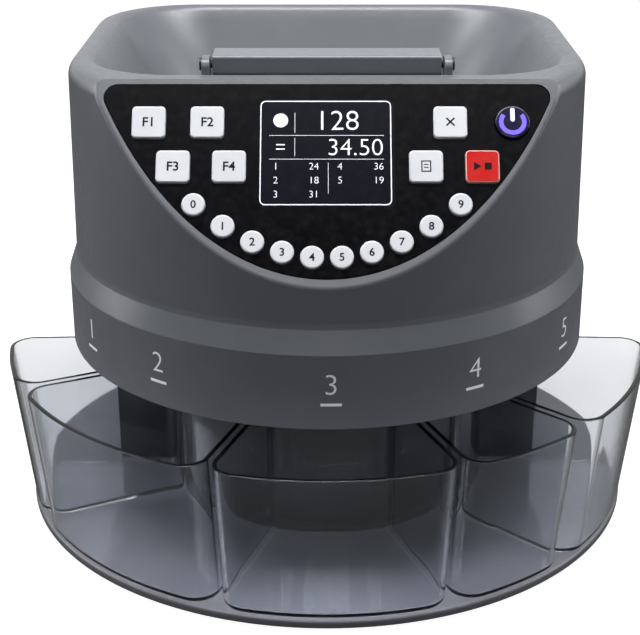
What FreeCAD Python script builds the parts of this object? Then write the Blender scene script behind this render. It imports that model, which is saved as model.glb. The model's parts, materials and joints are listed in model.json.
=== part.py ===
import FreeCAD, Part
import math
import os
from FreeCAD import Placement, Rotation, Vector

# A table-top coin sorter in millimetres. Front is -Y and up is +Z. All pieces are drawn about
# the axis of the feed disc and moved back by AXIS_Y when they are written, so that the origin
# lies under the middle of the whole machine.

# Heights above the table
FOOT_H = 2.5
BASE_TOP = 7.0
TRAY_BOTTOM = 7.2
TRAY_TOP = 89.0
SKIRT_BOTTOM = 97.5
DECK_Z = 100.0
DECK_TOP = 103.0
SORT_Z = 116.0
SORT_TOP = 118.0
COVER_Z = 131.0
COVER_TOP = 133.0
SKIRT_TOP = 136.5
COLLAR_TOP = 147.0
BODY_Z = 151.0
RIM_ROUND_Z = 247.0
RIM_BEND_Z = 250.5
SEAM_Z = 253.2
RIM_LIP_Z = 254.3
RIM_TOP = 255.0

# Plan of the housings: a round front, straight sides and a back with large corners
WALL = 2.6
SKIRT_R = 144.0
SKIRT_BACK = 139.0
SKIRT_LEDGE = 4.0
SKIRT_LEDGE_T = 2.0
COLLAR_STEP = 0.9
BODY_R = 139.6
BODY_BACK = 135.5
RIM_FRONT_R = 139.2
RIM_HALF = 135.7
RIM_BACK = 132.0
RIM_ROUND = 7.0
RIM_WALL = 6.0
PLAN_CORNER = 55.0
FRONT_ARC = 66.0

# Gaps: between mouldings, round a screw, on a turning fit and on a fixed fit
FIT_GAP = 0.3
HOLE_GAP = 0.2
RUN_GAP = 0.05
SEAT_GAP = 0.02

# How far joined solids reach into each other, how near counts as equal, and a length past everything
OVERLAP = 0.4
NEAR = 0.01
REACH = 300.0

# Base and feet
BASE_R = 172.0
BASE_BACK = 136.0
BASE_CORNER = 42.0
BASE_ROUND = 1.6
FEET = [(-112.0, -105.0), (112.0, -105.0), (-104.0, 100.0), (104.0, 100.0)]
FOOT_R = 9.0
FOOT_CHAMFER = 0.5

# Dark core that carries the head: a half drum in front and a tower behind it
DRUM_R = 80.0
DRUM_FLANGE_R = 87.0
DRUM_FLANGE_T = 3.0
TOWER_HALF = 124.0
TOWER_FRONT = 2.0
TOWER_BACK = 134.0
TOWER_CORNER = 52.0
TOWER_WINDOW_HALF = 56.0
TOWER_WINDOW_LOW = 20.0
TOWER_WINDOW_HIGH = 84.0
DRUM_POSTS = [(-40.0, -60.0), (40.0, -60.0)]
TOWER_SIDE_POSTS = [(-108.0, 14.0), (108.0, 14.0)]
TOWER_REAR_POSTS = [(-72.0, 118.0), (72.0, 118.0)]
POST_R = 4.5
POST_TOP = 22.0
POST_RIB = 1.6

# Screws
SCREW_R = 1.5
HEAD_R = 3.0
HEAD_T = 1.8
HEAD_SINK = 2.6
SCREW_SLOT = 0.8
BASE_SCREW_TIP = 18.0
COVER_SCREW_TIP = 127.4
BEARING_SCREWS = 4
BEARING_SCREW_R = 24.5

# Cover at the back, its vents and its two sockets, which are x from, x to, z from and z to
COVER_HALF = 66.0
COVER_LOW = 12.0
COVER_HIGH = 94.0
COVER_T = 2.0
COVER_CORNER = 6.0
COVER_OUT = TOWER_BACK + COVER_T
COVER_SCREWS = [(-61.0, 17.0), (61.0, 17.0), (-61.0, 89.0), (61.0, 89.0)]
VENT_ROWS = 6
VENT_LOW = 50.0
VENT_PITCH = 6.0
VENT_SLOT = 3.0
VENT_FROM = 2.0
VENT_TO = 46.0
INLET = (28.0, 52.0, 24.0, 38.0)
INLET_DEPTH = 18.0
INLET_FLANGE = 2.0
INLET_WALL_X = 2.0
INLET_WALL_Z = 3.0
SOCKET_DEPTH = 12.0
PIN_R = 1.2
PIN_SPREAD = 6.0
PORT = (-18.0, -2.0, 26.0, 38.0)
PORT_WALL = 1.5
PORT_DEPTH = 11.0
PORT_STAND = 0.8

# Coin trays: the walls between neighbours lie on these angles from the front, towards +X
TRAY_R_IN = 89.5
TRAY_R_BOTTOM = 171.5
TRAY_R_TOP = 180.5
TRAY_WALL = 2.4
TRAY_CORNER = 13.0
TRAY_CORNER_IN = 6.0
TRAY_SIDE_GAP = 1.3
TRAY_EDGES = [-87.5, -64.4, -19.4, 22.1, 46.8, 87.5]
TRAY_NAMES = ["left", "front_left", "front", "front_right", "right"]

# Sorting deck: each outlet is made for one coin diameter
COIN_D = [26.5, 24.26, 21.21, 19.05, 17.91]
COIN_GAP = 0.3
SORT_R = 122.4
SORT_R_IN = 90.0
SORT_EDGE = 2.0
SORT_SEAM = 0.3
SORT_BACK_SEAM = 93.0
FENCE_R = 126.5
FENCE_R_IN = 123.2
FENCE_LEDGE_R = 117.0
FENCE_LEDGE_Y = 40.0
CHUTE_GAP = 0.5
CHUTE_WALL = 2.0
SENSOR_W = 10.0
SENSOR_D = 7.0
SENSOR_H = 9.0
SENSOR_GAP = 0.2
HARNESS_HOLE = (-90.0, 108.0)
HARNESS_HOLE_R = 5.0
THROAT_R = 74.0

# Feed disc, its mat and its shaft
DISC_R = 89.0
DISC_T = 3.0
HUB_R = 22.0
HUB_TOP_R = 11.0
HUB_TOP = 126.0
DISC_COLLAR_R = 11.5
DISC_COLLAR_T = 1.8
MAT_R = 86.0
MAT_R_IN = 24.0
MAT_TOP = 119.4
MAT_RIBS = 6
MAT_RIB_W = 3.2
MAT_RIB_FROM = 30.0
MAT_RIB_TO = 84.0
MAT_RIB_TOP = 121.4
NUT_R = 9.0
NUT_TOP = 131.0
SHAFT_R = 5.0
SHAFT_Z = 58.0
SHAFT_CHAMFER = 0.6

# Bearings and their housing
BEARING_R = 13.0
BEARING_H = 8.0
BEARING_GROOVE_R = 10.6
BEARING_GROOVE_R_IN = 7.6
BEARING_GROOVE = 0.8
BEARING_LOW_Z = 73.0
BEARING_HIGH_Z = 104.0
BARREL_R = 18.0
BARREL_Z = 72.0
BARREL_TOP = 112.5
BARREL_FLANGE_R = 30.0
BARREL_FLANGE_T = 3.0

# Drive: a pinion on the motor turns the gear on the disc's shaft
GEAR_MODULE = 1.0
GEAR_TEETH = 63
PINION_TEETH = 18
GEAR_PRESSURE = 20.0
GEAR_Z = 60.0
GEAR_TOP = 68.0
GEAR_BACKLASH = 0.22
GEAR_SPREAD = 0.1
GEAR_BOSS_R = 9.0
GEAR_BOSS_TOP = 72.0
GEAR_HOLES = 6
GEAR_HOLE_R = 5.5
GEAR_HOLE_RING = 20.0
MOTOR_Y = GEAR_MODULE * (GEAR_TEETH + PINION_TEETH) / 2 + GEAR_SPREAD
MOTOR_R = 18.5
MOTOR_Z = 14.0
MOTOR_TOP = 56.0
MOTOR_CHAMFER = 1.2
MOTOR_SHAFT_R = 3.0
MOTOR_SHAFT_DEPTH = 14.0
MOTOR_BORE_DEPTH = 16.0
TAB_X = 8.0
TAB_W = 4.0
TAB_T = 0.8
TAB_LENGTH = 5.0
BRACKET_HALF = 24.0
BRACKET_T = 2.5
BRACKET_FRONT = 18.0
BRACKET_BACK = 66.0
BRACKET_FLANGE_BACK = 76.0
BRACKET_HOLE_R = 6.0

# Main board at the back, with its parts as x from, x to, z from, z to and height
BOARD_T = 1.6
MAIN_HALF = 80.0
MAIN_Y = 112.0
MAIN_LOW = 26.0
MAIN_HIGH = 92.0
MAIN_PARTS = [
    (-62.0, -40.0, 32.0, 54.0, 4.0),
    (-30.0, -12.0, 34.0, 52.0, 3.0),
    (10.0, 40.0, 64.0, 76.0, 9.0),
    (52.0, 74.0, 32.0, 60.0, 12.0),
    (-70.0, -40.0, 74.0, 84.0, 8.0),
]
MAIN_SPACERS = [(-65.0, 32.0), (65.0, 32.0), (-65.0, 80.0), (65.0, 80.0)]
SPACER_R = 3.0

# Power supply board on the base
SUPPLY_X = (30.0, 105.0)
SUPPLY_Y = (58.0, 104.0)
SUPPLY_Z = 16.0
SUPPLY_INSET = 5.0
COIL = (46.0, 74.0, 66.0, 92.0, 24.0)
HEAT_SINK = (34.0, 38.0, 62.0, 98.0, 22.0)
TANK = (90.0, 80.0, 9.0, 28.0)

# Leaning control panel: the outline is the cut of a round cylinder by the panel's plane.
# Panel coordinates are u to the right, v up the slope and n out of the face.
PANEL_LEAN = 36.5
PANEL_R = 137.0
PANEL_FOOT_Z = 173.0
PANEL_WALL = 4.5
PANEL_TOP_V = 99.2
PANEL_CORNER = 7.0
PANEL_LEDGE = 1.0
PANEL_LEDGE_CORNER = 6.0
PANEL_OPENING_DEPTH = 8.0
FASCIA_DEPTH = 2.4
FASCIA_TOP = -0.3
FASCIA_POSTS = [(-40.0, 82.0), (40.0, 82.0), (-20.0, 29.0), (22.0, 29.0)]
FASCIA_POST_R = 2.5
BOARD_N = -8.0
BOARD_INSET = 5.0
BOARD_TOP_V = 92.0
BOARD_CORNER = 4.0
DOME_R = 1.8
DOME_TOP = -7.45

# Keys and display
SQUARE_KEY = 16.4
SQUARE_KEY_CORNER = 2.2
SQUARE_KEY_ROUND = 0.7
ROUND_KEY_R = 5.7
ROUND_KEY_ROUND = 0.9
POWER_KEY_R = 8.4
KEY_RISE = 2.6
KEY_FOOT = -6.0
KEY_FLANGE_TOP = -4.6
KEY_FLANGE = 0.7
UPPER_ROW_V = 78.9
LOWER_ROW_V = 56.1
SQUARE_KEYS = {
    "function_key_1": (-86.5, UPPER_ROW_V),
    "function_key_2": (-58.1, UPPER_ROW_V),
    "function_key_3": (-74.2, LOWER_ROW_V),
    "function_key_4": (-47.2, LOWER_ROW_V),
    "clear_key": (59.8, UPPER_ROW_V),
    "print_key": (47.7, LOWER_ROW_V),
    "start_stop_key": (74.8, LOWER_ROW_V),
}
POWER_UV = (90.0, UPPER_ROW_V)
DIGIT_PITCH = 14.2
DIGIT_RISE = 10.3
DISPLAY_V = 63.7
DISPLAY_HALF_U = 33.0
DISPLAY_HALF_V = 27.8
DISPLAY_CORNER = 3.0
DISPLAY_GAP = 0.1
MODULE_BORDER = 1.2
MODULE_CORNER = 1.0
MODULE_BACK = -6.0
MODULE_POST_U = 30.0
MODULE_POST_V = 22.0
MODULE_POST_R = 2.0

# Hopper bowl by its inner sections: height, half width, front, back and corner
BOWL_WALL = 2.4
BOWL_LIP = 0.6
BOWL_SECTIONS = [
    (COVER_TOP, 76.0, -76.0, 76.0, 66.0),
    (205.0, 90.0, -68.0, 97.0, 48.0),
    (RIM_ROUND_Z, 117.5, -63.5, 117.5, 46.0),
    (RIM_TOP, 124.0, -64.5, 122.5, 48.0),
]

# Feed gate at the front of the hopper, its pin and the two lugs that hold the pin
GATE_HALF = 57.5
GATE_FRONT = -58.5
GATE_BACK = -38.0
GATE_Z = 252.5
GATE_TOP = 262.5
GATE_ROUND = 1.4
GATE_AXIS_Y = -54.0
GATE_AXIS_Z = 257.5
GATE_PLATE_Z = 214.0
GATE_PLATE_T = 3.0
GATE_PLATE_BACK = -39.5
GATE_PLATE_HALF = 53.5
GATE_PIN_R = 2.0
GATE_PIN_HEAD_R = 3.2
GATE_PIN_HEAD_T = 1.6
LUG_X = 58.5
LUG_T = 4.0
LUG_R = 4.5
LUG_FRONT = -65.0
LUG_Z = 246.0

# The middle of the whole machine lies this far in front of the disc axis
AXIS_Y = (TRAY_R_TOP - SKIRT_BACK) / 2

LEAN = math.radians(PANEL_LEAN)
PANEL_PLACE = Placement(Vector(0, -PANEL_R, PANEL_FOOT_Z), Rotation(Vector(1, 0, 0), 90 - PANEL_LEAN))


# Small helpers for plain solids
def block(x0, x1, y0, y1, z0, z1):
    return Part.makeBox(x1 - x0, y1 - y0, z1 - z0, Vector(x0, y0, z0))


def rod(radius, z0, z1, x=0.0, y=0.0):
    return Part.makeCylinder(radius, z1 - z0, Vector(x, y, z0))


def ring(r_out, r_in, z0, z1, x=0.0, y=0.0):
    return rod(r_out, z0, z1, x, y).cut(rod(r_in, 0, REACH, x, y))


def cross_rod(radius, x0, x1, y, z):
    return Part.makeCylinder(radius, x1 - x0, Vector(x0, y, z), Vector(1, 0, 0))


def back_rod(radius, y0, y1, x, z):
    return Part.makeCylinder(radius, y1 - y0, Vector(x, y0, z), Vector(0, 1, 0))


def radial(r, angle):
    a = math.radians(angle)
    return Vector(r * math.sin(a), -r * math.cos(a), 0)


def turned(shape, angle):
    shape.rotate(Vector(0, 0, 0), Vector(0, 0, 1), angle)
    return shape


def arc(p, q, r):
    return Part.Arc(p, q, r).toShape()


def line(p, q):
    return Part.LineSegment(p, q).toShape()


def join(shapes):
    return shapes[0].multiFuse(shapes[1:]).removeSplitter()


def loft(wires):
    return Part.makeLoft(wires, True, True)


def upright_edges(solid, behind=-REACH):
    return [e for e in solid.Edges if e.BoundBox.ZLength > 1 and e.BoundBox.YMin > behind - NEAR]


def level_edges(solid, z):
    return [e for e in solid.Edges if abs(e.BoundBox.ZMin - z) < NEAR and e.BoundBox.ZLength < NEAR]


# Outline of a housing at one height: the front arc runs into the sides through two smaller arcs
def plan_wire(front_r, half, back, corner, z):
    s = math.sin(math.radians(FRONT_ARC))
    c = math.cos(math.radians(FRONT_ARC))
    blend = (half - front_r * s) / (1 - s)
    blend_y = -(front_r - blend) * c
    middle = math.radians((FRONT_ARC + 90) / 2)
    corner_x = half - corner
    corner_y = back - corner
    d = corner * math.sqrt(0.5)

    def side(sign):
        return [
            Vector(sign * front_r * s, -front_r * c, z),
            Vector(sign * (half - blend + blend * math.sin(middle)), blend_y - blend * math.cos(middle), z),
            Vector(sign * half, blend_y, z),
            Vector(sign * half, corner_y, z),
            Vector(sign * (corner_x + d), corner_y + d, z),
            Vector(sign * corner_x, back, z),
        ]

    right = side(1)
    left = side(-1)
    front = Vector(0, -front_r, z)
    edges = [
        arc(left[0], front, right[0]),
        arc(right[0], right[1], right[2]),
        line(right[2], right[3]),
        arc(right[3], right[4], right[5]),
        line(right[5], left[5]),
        arc(left[5], left[4], left[3]),
        line(left[3], left[2]),
        arc(left[2], left[1], left[0]),
    ]
    return Part.Wire(edges)


# Straight prism of the skirt's outline, drawn in by an inset
def skirt_prism(inset, z0, z1):
    wire = plan_wire(SKIRT_R - inset, SKIRT_R - inset, SKIRT_BACK - inset, PLAN_CORNER, z0)
    return Part.Face(wire).extrude(Vector(0, 0, z1 - z0))


# Outline of the body between the collar and the rim, drawn in by an inset
def body_wire(z, inset):
    t = (z - BODY_Z) / (RIM_TOP - BODY_Z)
    front_r = BODY_R + (RIM_FRONT_R - BODY_R) * t - inset
    half = BODY_R + (RIM_HALF - BODY_R) * t - inset
    back = BODY_BACK + (RIM_BACK - BODY_BACK) * t - inset
    return plan_wire(front_r, half, back, PLAN_CORNER - inset, z)


# How far the rounded rim has drawn in at one height
def rim_inset(z):
    t = max(0.0, (z - RIM_ROUND_Z) / (RIM_TOP - RIM_ROUND_Z))
    return RIM_ROUND * (1 - math.sqrt(1 - t * t))


# Everything in front of a plane parallel to the panel
def ahead_of_panel(depth):
    return on_panel(block(-REACH, REACH, -REACH, REACH, depth, REACH))


def on_panel(shape):
    shape.Placement = PANEL_PLACE
    return shape


# Prism of the panel's outline, drawn in by an inset, in panel coordinates
def panel_prism(inset, top_v, n0, n1, corner):
    stretch = 1 / math.sin(LEAN)
    centre = Vector(0, PANEL_R * stretch, n0)
    half = PANEL_R - inset
    oval = Part.Ellipse(centre + Vector(0, half * stretch, 0), centre + Vector(half, 0, 0), centre)
    solid = Part.Face(Part.Wire([oval.toShape()])).extrude(Vector(0, 0, n1 - n0))
    solid = solid.common(block(-REACH, REACH, -REACH, top_v, n0, n1))
    return solid.makeFillet(corner, upright_edges(solid, top_v))


# Upright prism with rounded corners, in panel coordinates
def rounded_prism(u, v, half_u, half_v, corner, n0, n1):
    solid = block(u - half_u, u + half_u, v - half_v, v + half_v, n0, n1)
    return solid.makeFillet(corner, upright_edges(solid))


# The number keys follow the lower edge of the panel
def digit_uv(number):
    u = (number - 4.5) * DIGIT_PITCH
    sag = PANEL_R - math.sqrt(PANEL_R ** 2 - u * u)
    return (u, sag / math.sin(LEAN) + DIGIT_RISE)


# Base and feet
def base_plate():
    plate = rod(BASE_R, FOOT_H, BASE_TOP).cut(block(-REACH, REACH, BASE_BACK, REACH, 0, REACH))
    plate = plate.makeFillet(BASE_CORNER, upright_edges(plate, BASE_BACK))
    plate = plate.makeFillet(BASE_ROUND, level_edges(plate, BASE_TOP))
    for x, y in DRUM_POSTS + TOWER_SIDE_POSTS + TOWER_REAR_POSTS:
        plate = plate.cut(rod(SCREW_R + HOLE_GAP, 0, REACH, x, y))
        plate = plate.cut(rod(HEAD_R + FIT_GAP, 0, FOOT_H + HEAD_SINK, x, y))
    return plate


def rubber_feet():
    feet = []
    for x, y in FEET:
        foot = rod(FOOT_R, 0, FOOT_H, x, y)
        feet.append(foot.makeChamfer(FOOT_CHAMFER, level_edges(foot, 0)))
    return Part.makeCompound(feet)


# Dark core
def screw_post(x, y):
    return ring(POST_R, SCREW_R + SEAT_GAP, BASE_TOP, POST_TOP, x, y)


# Rib from a screw post to the wall beside it, at an angle from +X
def post_rib(x, y, length, angle):
    rib = block(POST_R - OVERLAP, length, -POST_RIB / 2, POST_RIB / 2, BASE_TOP, POST_TOP)
    rib = turned(rib, angle)
    rib.translate(Vector(x, y, 0))
    return rib


def core_drum():
    shell = ring(DRUM_R, DRUM_R - WALL, BASE_TOP, DECK_Z)
    flange = ring(DRUM_FLANGE_R, DRUM_R - WALL, BASE_TOP, BASE_TOP + DRUM_FLANGE_T)
    front = block(-REACH, REACH, -REACH, TOWER_FRONT, 0, REACH)
    solids = [join([shell, flange]).common(front)]
    for x, y in DRUM_POSTS:
        solids.append(screw_post(x, y))
        solids.append(post_rib(x, y, DRUM_R - WALL / 2 - math.hypot(x, y), math.degrees(math.atan2(y, x))))
    return join(solids)


def tower_prism(inset, z0, z1):
    half = TOWER_HALF - inset
    solid = block(-half, half, TOWER_FRONT + inset, TOWER_BACK - inset, z0, z1)
    return solid.makeFillet(TOWER_CORNER - inset, upright_edges(solid, TOWER_BACK - inset))


def rear_tower():
    shell = tower_prism(0, BASE_TOP, DECK_Z).cut(tower_prism(WALL, 0, REACH))
    door = DRUM_R - WALL
    shell = shell.cut(block(-door, door, TOWER_FRONT - 1, TOWER_FRONT + WALL + 1, 0, REACH))
    shell = shell.cut(block(-TOWER_WINDOW_HALF, TOWER_WINDOW_HALF, TOWER_BACK - WALL - 1, TOWER_BACK + 1,
                            TOWER_WINDOW_LOW, TOWER_WINDOW_HIGH))
    solids = [shell]
    for x, y in TOWER_SIDE_POSTS:
        solids.append(screw_post(x, y))
        solids.append(post_rib(x, y, TOWER_HALF - WALL / 2 - abs(x), 0 if x > 0 else 180))
    for x, y in TOWER_REAR_POSTS:
        solids.append(screw_post(x, y))
        solids.append(post_rib(x, y, TOWER_BACK - WALL / 2 - y, 90))
    tower = join(solids)
    for x, z in COVER_SCREWS:
        tower = tower.cut(back_rod(SCREW_R + SEAT_GAP, COVER_SCREW_TIP, COVER_OUT, x, z))
    return tower


def rear_cover():
    plate = block(-COVER_HALF, COVER_HALF, TOWER_BACK, COVER_OUT, COVER_LOW, COVER_HIGH)
    corners = [e for e in plate.Edges if e.BoundBox.YLength > COVER_T - NEAR]
    plate = plate.makeFillet(COVER_CORNER, corners)
    near = TOWER_BACK - 1
    far = COVER_OUT + 1
    for x, z in COVER_SCREWS:
        plate = plate.cut(back_rod(SCREW_R + HOLE_GAP, near, far, x, z))
    for x0, x1, z0, z1 in (INLET, PORT):
        plate = plate.cut(block(x0 - FIT_GAP, x1 + FIT_GAP, near, far, z0 - FIT_GAP, z1 + FIT_GAP))
    for row in range(VENT_ROWS):
        z = VENT_LOW + row * VENT_PITCH
        plate = plate.cut(block(-VENT_TO, -VENT_FROM, near, far, z, z + VENT_SLOT))
        plate = plate.cut(block(VENT_FROM, VENT_TO, near, far, z, z + VENT_SLOT))
    return plate


def cover_screws():
    screws = []
    for x, z in COVER_SCREWS:
        head = back_rod(HEAD_R, COVER_OUT, COVER_OUT + HEAD_T, x, z)
        shank = back_rod(SCREW_R, COVER_SCREW_TIP, COVER_OUT, x, z)
        slot = block(x - HEAD_R, x + HEAD_R, COVER_OUT + HEAD_T / 2, COVER_OUT + HEAD_T + 1,
                     z - SCREW_SLOT / 2, z + SCREW_SLOT / 2)
        screws.append(join([head, shank]).cut(slot))
    return Part.makeCompound(screws)


def power_inlet():
    x0, x1, z0, z1 = INLET
    body = block(x0, x1, COVER_OUT - INLET_DEPTH, COVER_OUT + OVERLAP, z0, z1)
    flange = block(x0 - INLET_FLANGE, x1 + INLET_FLANGE, COVER_OUT, COVER_OUT + INLET_FLANGE,
                   z0 - INLET_FLANGE, z1 + INLET_FLANGE)
    socket = block(x0 + INLET_WALL_X, x1 - INLET_WALL_X, COVER_OUT - SOCKET_DEPTH, COVER_OUT + REACH,
                   z0 + INLET_WALL_Z, z1 - INLET_WALL_Z)
    solids = [join([body, flange]).cut(socket)]
    for side in (-PIN_SPREAD, PIN_SPREAD):
        solids.append(back_rod(PIN_R, COVER_OUT - SOCKET_DEPTH - 1, COVER_OUT - 1, (x0 + x1) / 2 + side,
                               (z0 + z1) / 2))
    return join(solids)


def data_port():
    x0, x1, z0, z1 = PORT
    shell = block(x0, x1, MAIN_Y + BOARD_T, COVER_OUT + PORT_STAND, z0, z1)
    return shell.cut(block(x0 + PORT_WALL, x1 - PORT_WALL, COVER_OUT - PORT_DEPTH, COVER_OUT + REACH,
                           z0 + PORT_WALL, z1 - PORT_WALL))


# Five clear trays, each a ring sector with a flared outer wall
def tray_wire(left, right, z, inset):
    t = (z - TRAY_BOTTOM) / (TRAY_TOP - TRAY_BOTTOM)
    r_out = TRAY_R_BOTTOM + (TRAY_R_TOP - TRAY_R_BOTTOM) * t - inset
    r_in = TRAY_R_IN + inset
    gap = TRAY_SIDE_GAP + inset
    outer = TRAY_CORNER - inset
    inner = TRAY_CORNER_IN - inset
    middle = (left + right) / 2

    # One rounded corner: its angle, the middle of its arc, and where it meets the side wall
    def corner(edge, sign, r_centre, radius, outwards):
        angle = edge + sign * math.degrees(math.asin((gap + radius) / r_centre))
        centre = radial(r_centre, angle)
        inward = radial(sign, edge + 90)
        bend = (radial(outwards, angle) - inward).normalize()
        return angle, centre + bend * radius, centre - inward * radius

    out_left, out_left_bend, out_left_side = corner(left, 1, r_out - outer, outer, 1)
    out_right, out_right_bend, out_right_side = corner(right, -1, r_out - outer, outer, 1)
    in_left, in_left_bend, in_left_side = corner(left, 1, r_in + inner, inner, -1)
    in_right, in_right_bend, in_right_side = corner(right, -1, r_in + inner, inner, -1)
    edges = [
        arc(radial(r_out, out_left), radial(r_out, middle), radial(r_out, out_right)),
        arc(radial(r_out, out_right), out_right_bend, out_right_side),
        line(out_right_side, in_right_side),
        arc(in_right_side, in_right_bend, radial(r_in, in_right)),
        arc(radial(r_in, in_right), radial(r_in, middle), radial(r_in, in_left)),
        arc(radial(r_in, in_left), in_left_bend, in_left_side),
        line(in_left_side, out_left_side),
        arc(out_left_side, out_left_bend, radial(r_out, out_left)),
    ]
    wire = Part.Wire(edges)
    wire.translate(Vector(0, 0, z))
    return wire


def coin_tray(left, right):
    outside = loft([tray_wire(left, right, TRAY_BOTTOM, 0), tray_wire(left, right, TRAY_TOP, 0)])
    inside = loft([tray_wire(left, right, TRAY_BOTTOM + TRAY_WALL, TRAY_WALL),
                   tray_wire(left, right, TRAY_TOP + 1, TRAY_WALL)])
    return outside.cut(inside)


# The five outlets above the middles of the trays: hole radius, middle of the hole and angle
def outlets():
    places = []
    for coin, left, right in zip(COIN_D, TRAY_EDGES, TRAY_EDGES[1:]):
        radius = coin / 2 + COIN_GAP
        angle = (left + right) / 2
        places.append((radius, radial(SORT_R - SORT_EDGE - radius, angle), angle))
    return places


def bearing_screw_places():
    return [radial(BEARING_SCREW_R, 45 + 360 / BEARING_SCREWS * i) for i in range(BEARING_SCREWS)]


# Sorting deck and the skirt round it
def sorter_deck():
    deck = skirt_prism(WALL + FIT_GAP, DECK_Z, DECK_TOP)
    deck = deck.cut(rod(BARREL_R + FIT_GAP, 0, REACH))
    for radius, place, angle in outlets():
        deck = deck.cut(rod(radius + CHUTE_GAP, 0, REACH, place.x, place.y))
    for place in bearing_screw_places():
        deck = deck.cut(rod(SCREW_R + SEAT_GAP, 0, REACH, place.x, place.y))
    return deck.cut(rod(HARNESS_HOLE_R, 0, REACH, *HARNESS_HOLE))


# The skirt stands on the deck with a narrow inner ledge
def skirt_ring():
    wall = skirt_prism(0, SKIRT_BOTTOM, SKIRT_TOP).cut(skirt_prism(WALL, 0, REACH))
    ledge = skirt_prism(WALL - OVERLAP, DECK_TOP, DECK_TOP + SKIRT_LEDGE_T)
    return join([wall, ledge.cut(skirt_prism(WALL + SKIRT_LEDGE, 0, REACH))])


# The plate is laid in segments: one for each outlet, which stands on its chute, and one across the back
def sort_plate():
    plate = ring(SORT_R, SORT_R_IN, SORT_Z, SORT_TOP)
    for radius, place, angle in outlets():
        plate = plate.cut(rod(radius, 0, REACH, place.x, place.y))
    for seam in [-SORT_BACK_SEAM] + TRAY_EDGES[1:-1] + [SORT_BACK_SEAM]:
        joint = block(-SORT_SEAM / 2, SORT_SEAM / 2, -REACH, 0, 0, REACH)
        plate = plate.cut(turned(joint, seam))
    return Part.makeCompound(plate.Solids)


# The fence stands round the sort plate and carries it on a ledge at the back
def sort_fence():
    wall = ring(FENCE_R, FENCE_R_IN, DECK_TOP, COVER_Z)
    ledge = ring(FENCE_R_IN + OVERLAP, FENCE_LEDGE_R, DECK_TOP, SORT_Z)
    return join([wall, ledge.common(block(-REACH, REACH, FENCE_LEDGE_Y, REACH, 0, REACH))])


def coin_chutes():
    tubes = []
    for radius, place, angle in outlets():
        bore = radius + CHUTE_GAP
        tubes.append(ring(bore + CHUTE_WALL, bore, DECK_TOP, SORT_Z, place.x, place.y))
    return Part.makeCompound(tubes)


def coin_sensors():
    sensors = []
    for radius, place, angle in outlets():
        reach = place.Length - radius - CHUTE_GAP - CHUTE_WALL - SENSOR_GAP
        body = block(-SENSOR_W / 2, SENSOR_W / 2, -reach, SENSOR_D - reach, DECK_TOP, DECK_TOP + SENSOR_H)
        sensors.append(turned(body, angle))
    return Part.makeCompound(sensors)


def disc_cover():
    plate = skirt_prism(WALL + FIT_GAP, COVER_Z, COVER_TOP)
    plate = plate.cut(rod(THROAT_R, 0, REACH))
    return plate.cut(rod(HARNESS_HOLE_R, 0, REACH, *HARNESS_HOLE))


# Feed disc and what turns with it
def feed_disc():
    under = SORT_TOP - DISC_T
    plate = rod(DISC_R, under, SORT_TOP)
    cone = Part.makeCone(HUB_R, HUB_TOP_R, HUB_TOP - SORT_TOP, Vector(0, 0, SORT_TOP))
    collar = rod(DISC_COLLAR_R, under - DISC_COLLAR_T, under)
    return join([plate, cone, collar]).cut(rod(SHAFT_R + SEAT_GAP, 0, REACH))


def disc_mat():
    solids = [ring(MAT_R, MAT_R_IN, SORT_TOP, MAT_TOP)]
    for i in range(MAT_RIBS):
        rib = block(-MAT_RIB_W / 2, MAT_RIB_W / 2, MAT_RIB_FROM, MAT_RIB_TO, MAT_TOP - OVERLAP, MAT_RIB_TOP)
        solids.append(turned(rib, 360 / MAT_RIBS * i))
    return join(solids)


def disc_nut():
    corners = [radial(NUT_R, 60 * i) + Vector(0, 0, HUB_TOP) for i in range(7)]
    nut = Part.Face(Part.makePolygon(corners)).extrude(Vector(0, 0, NUT_TOP - HUB_TOP))
    return nut.cut(rod(SHAFT_R + SEAT_GAP, 0, REACH))


def disc_shaft():
    shaft = rod(SHAFT_R, SHAFT_Z, NUT_TOP)
    return shaft.makeChamfer(SHAFT_CHAMFER, level_edges(shaft, SHAFT_Z) + level_edges(shaft, NUT_TOP))


def shaft_bearings():
    bearings = []
    for z in (BEARING_LOW_Z, BEARING_HIGH_Z):
        race = ring(BEARING_R, SHAFT_R + RUN_GAP, z, z + BEARING_H)
        groove = ring(BEARING_GROOVE_R, BEARING_GROOVE_R_IN, z + BEARING_H - BEARING_GROOVE, z + BEARING_H)
        bearings.append(race.cut(groove))
    return Part.makeCompound(bearings)


def bearing_housing():
    barrel = rod(BARREL_R, BARREL_Z, BARREL_TOP)
    flange = rod(BARREL_FLANGE_R, DECK_TOP, DECK_TOP + BARREL_FLANGE_T)
    solid = join([barrel, flange]).cut(rod(BEARING_R + RUN_GAP, 0, REACH))
    for place in bearing_screw_places():
        solid = solid.cut(rod(SCREW_R + HOLE_GAP, 0, REACH, place.x, place.y))
    return solid


# Screws up through the base and down through the flange of the bearing housing
def chassis_screws():
    screws = []
    seat = FOOT_H + HEAD_SINK
    for x, y in DRUM_POSTS + TOWER_SIDE_POSTS + TOWER_REAR_POSTS:
        head = rod(HEAD_R, seat - HEAD_T, seat, x, y)
        screws.append(join([head, rod(SCREW_R, seat, BASE_SCREW_TIP, x, y)]))
    seat = DECK_TOP + BARREL_FLANGE_T
    for place in bearing_screw_places():
        head = rod(HEAD_R, seat, seat + HEAD_T, place.x, place.y)
        screws.append(join([head, rod(SCREW_R, DECK_Z, seat, place.x, place.y)]))
    return Part.makeCompound(screws)


def distinct(points):
    kept = [points[0]]
    for point in points[1:]:
        if point.distanceToPoint(kept[-1]) > NEAR:
            kept.append(point)
    return kept + [points[0]]


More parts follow.
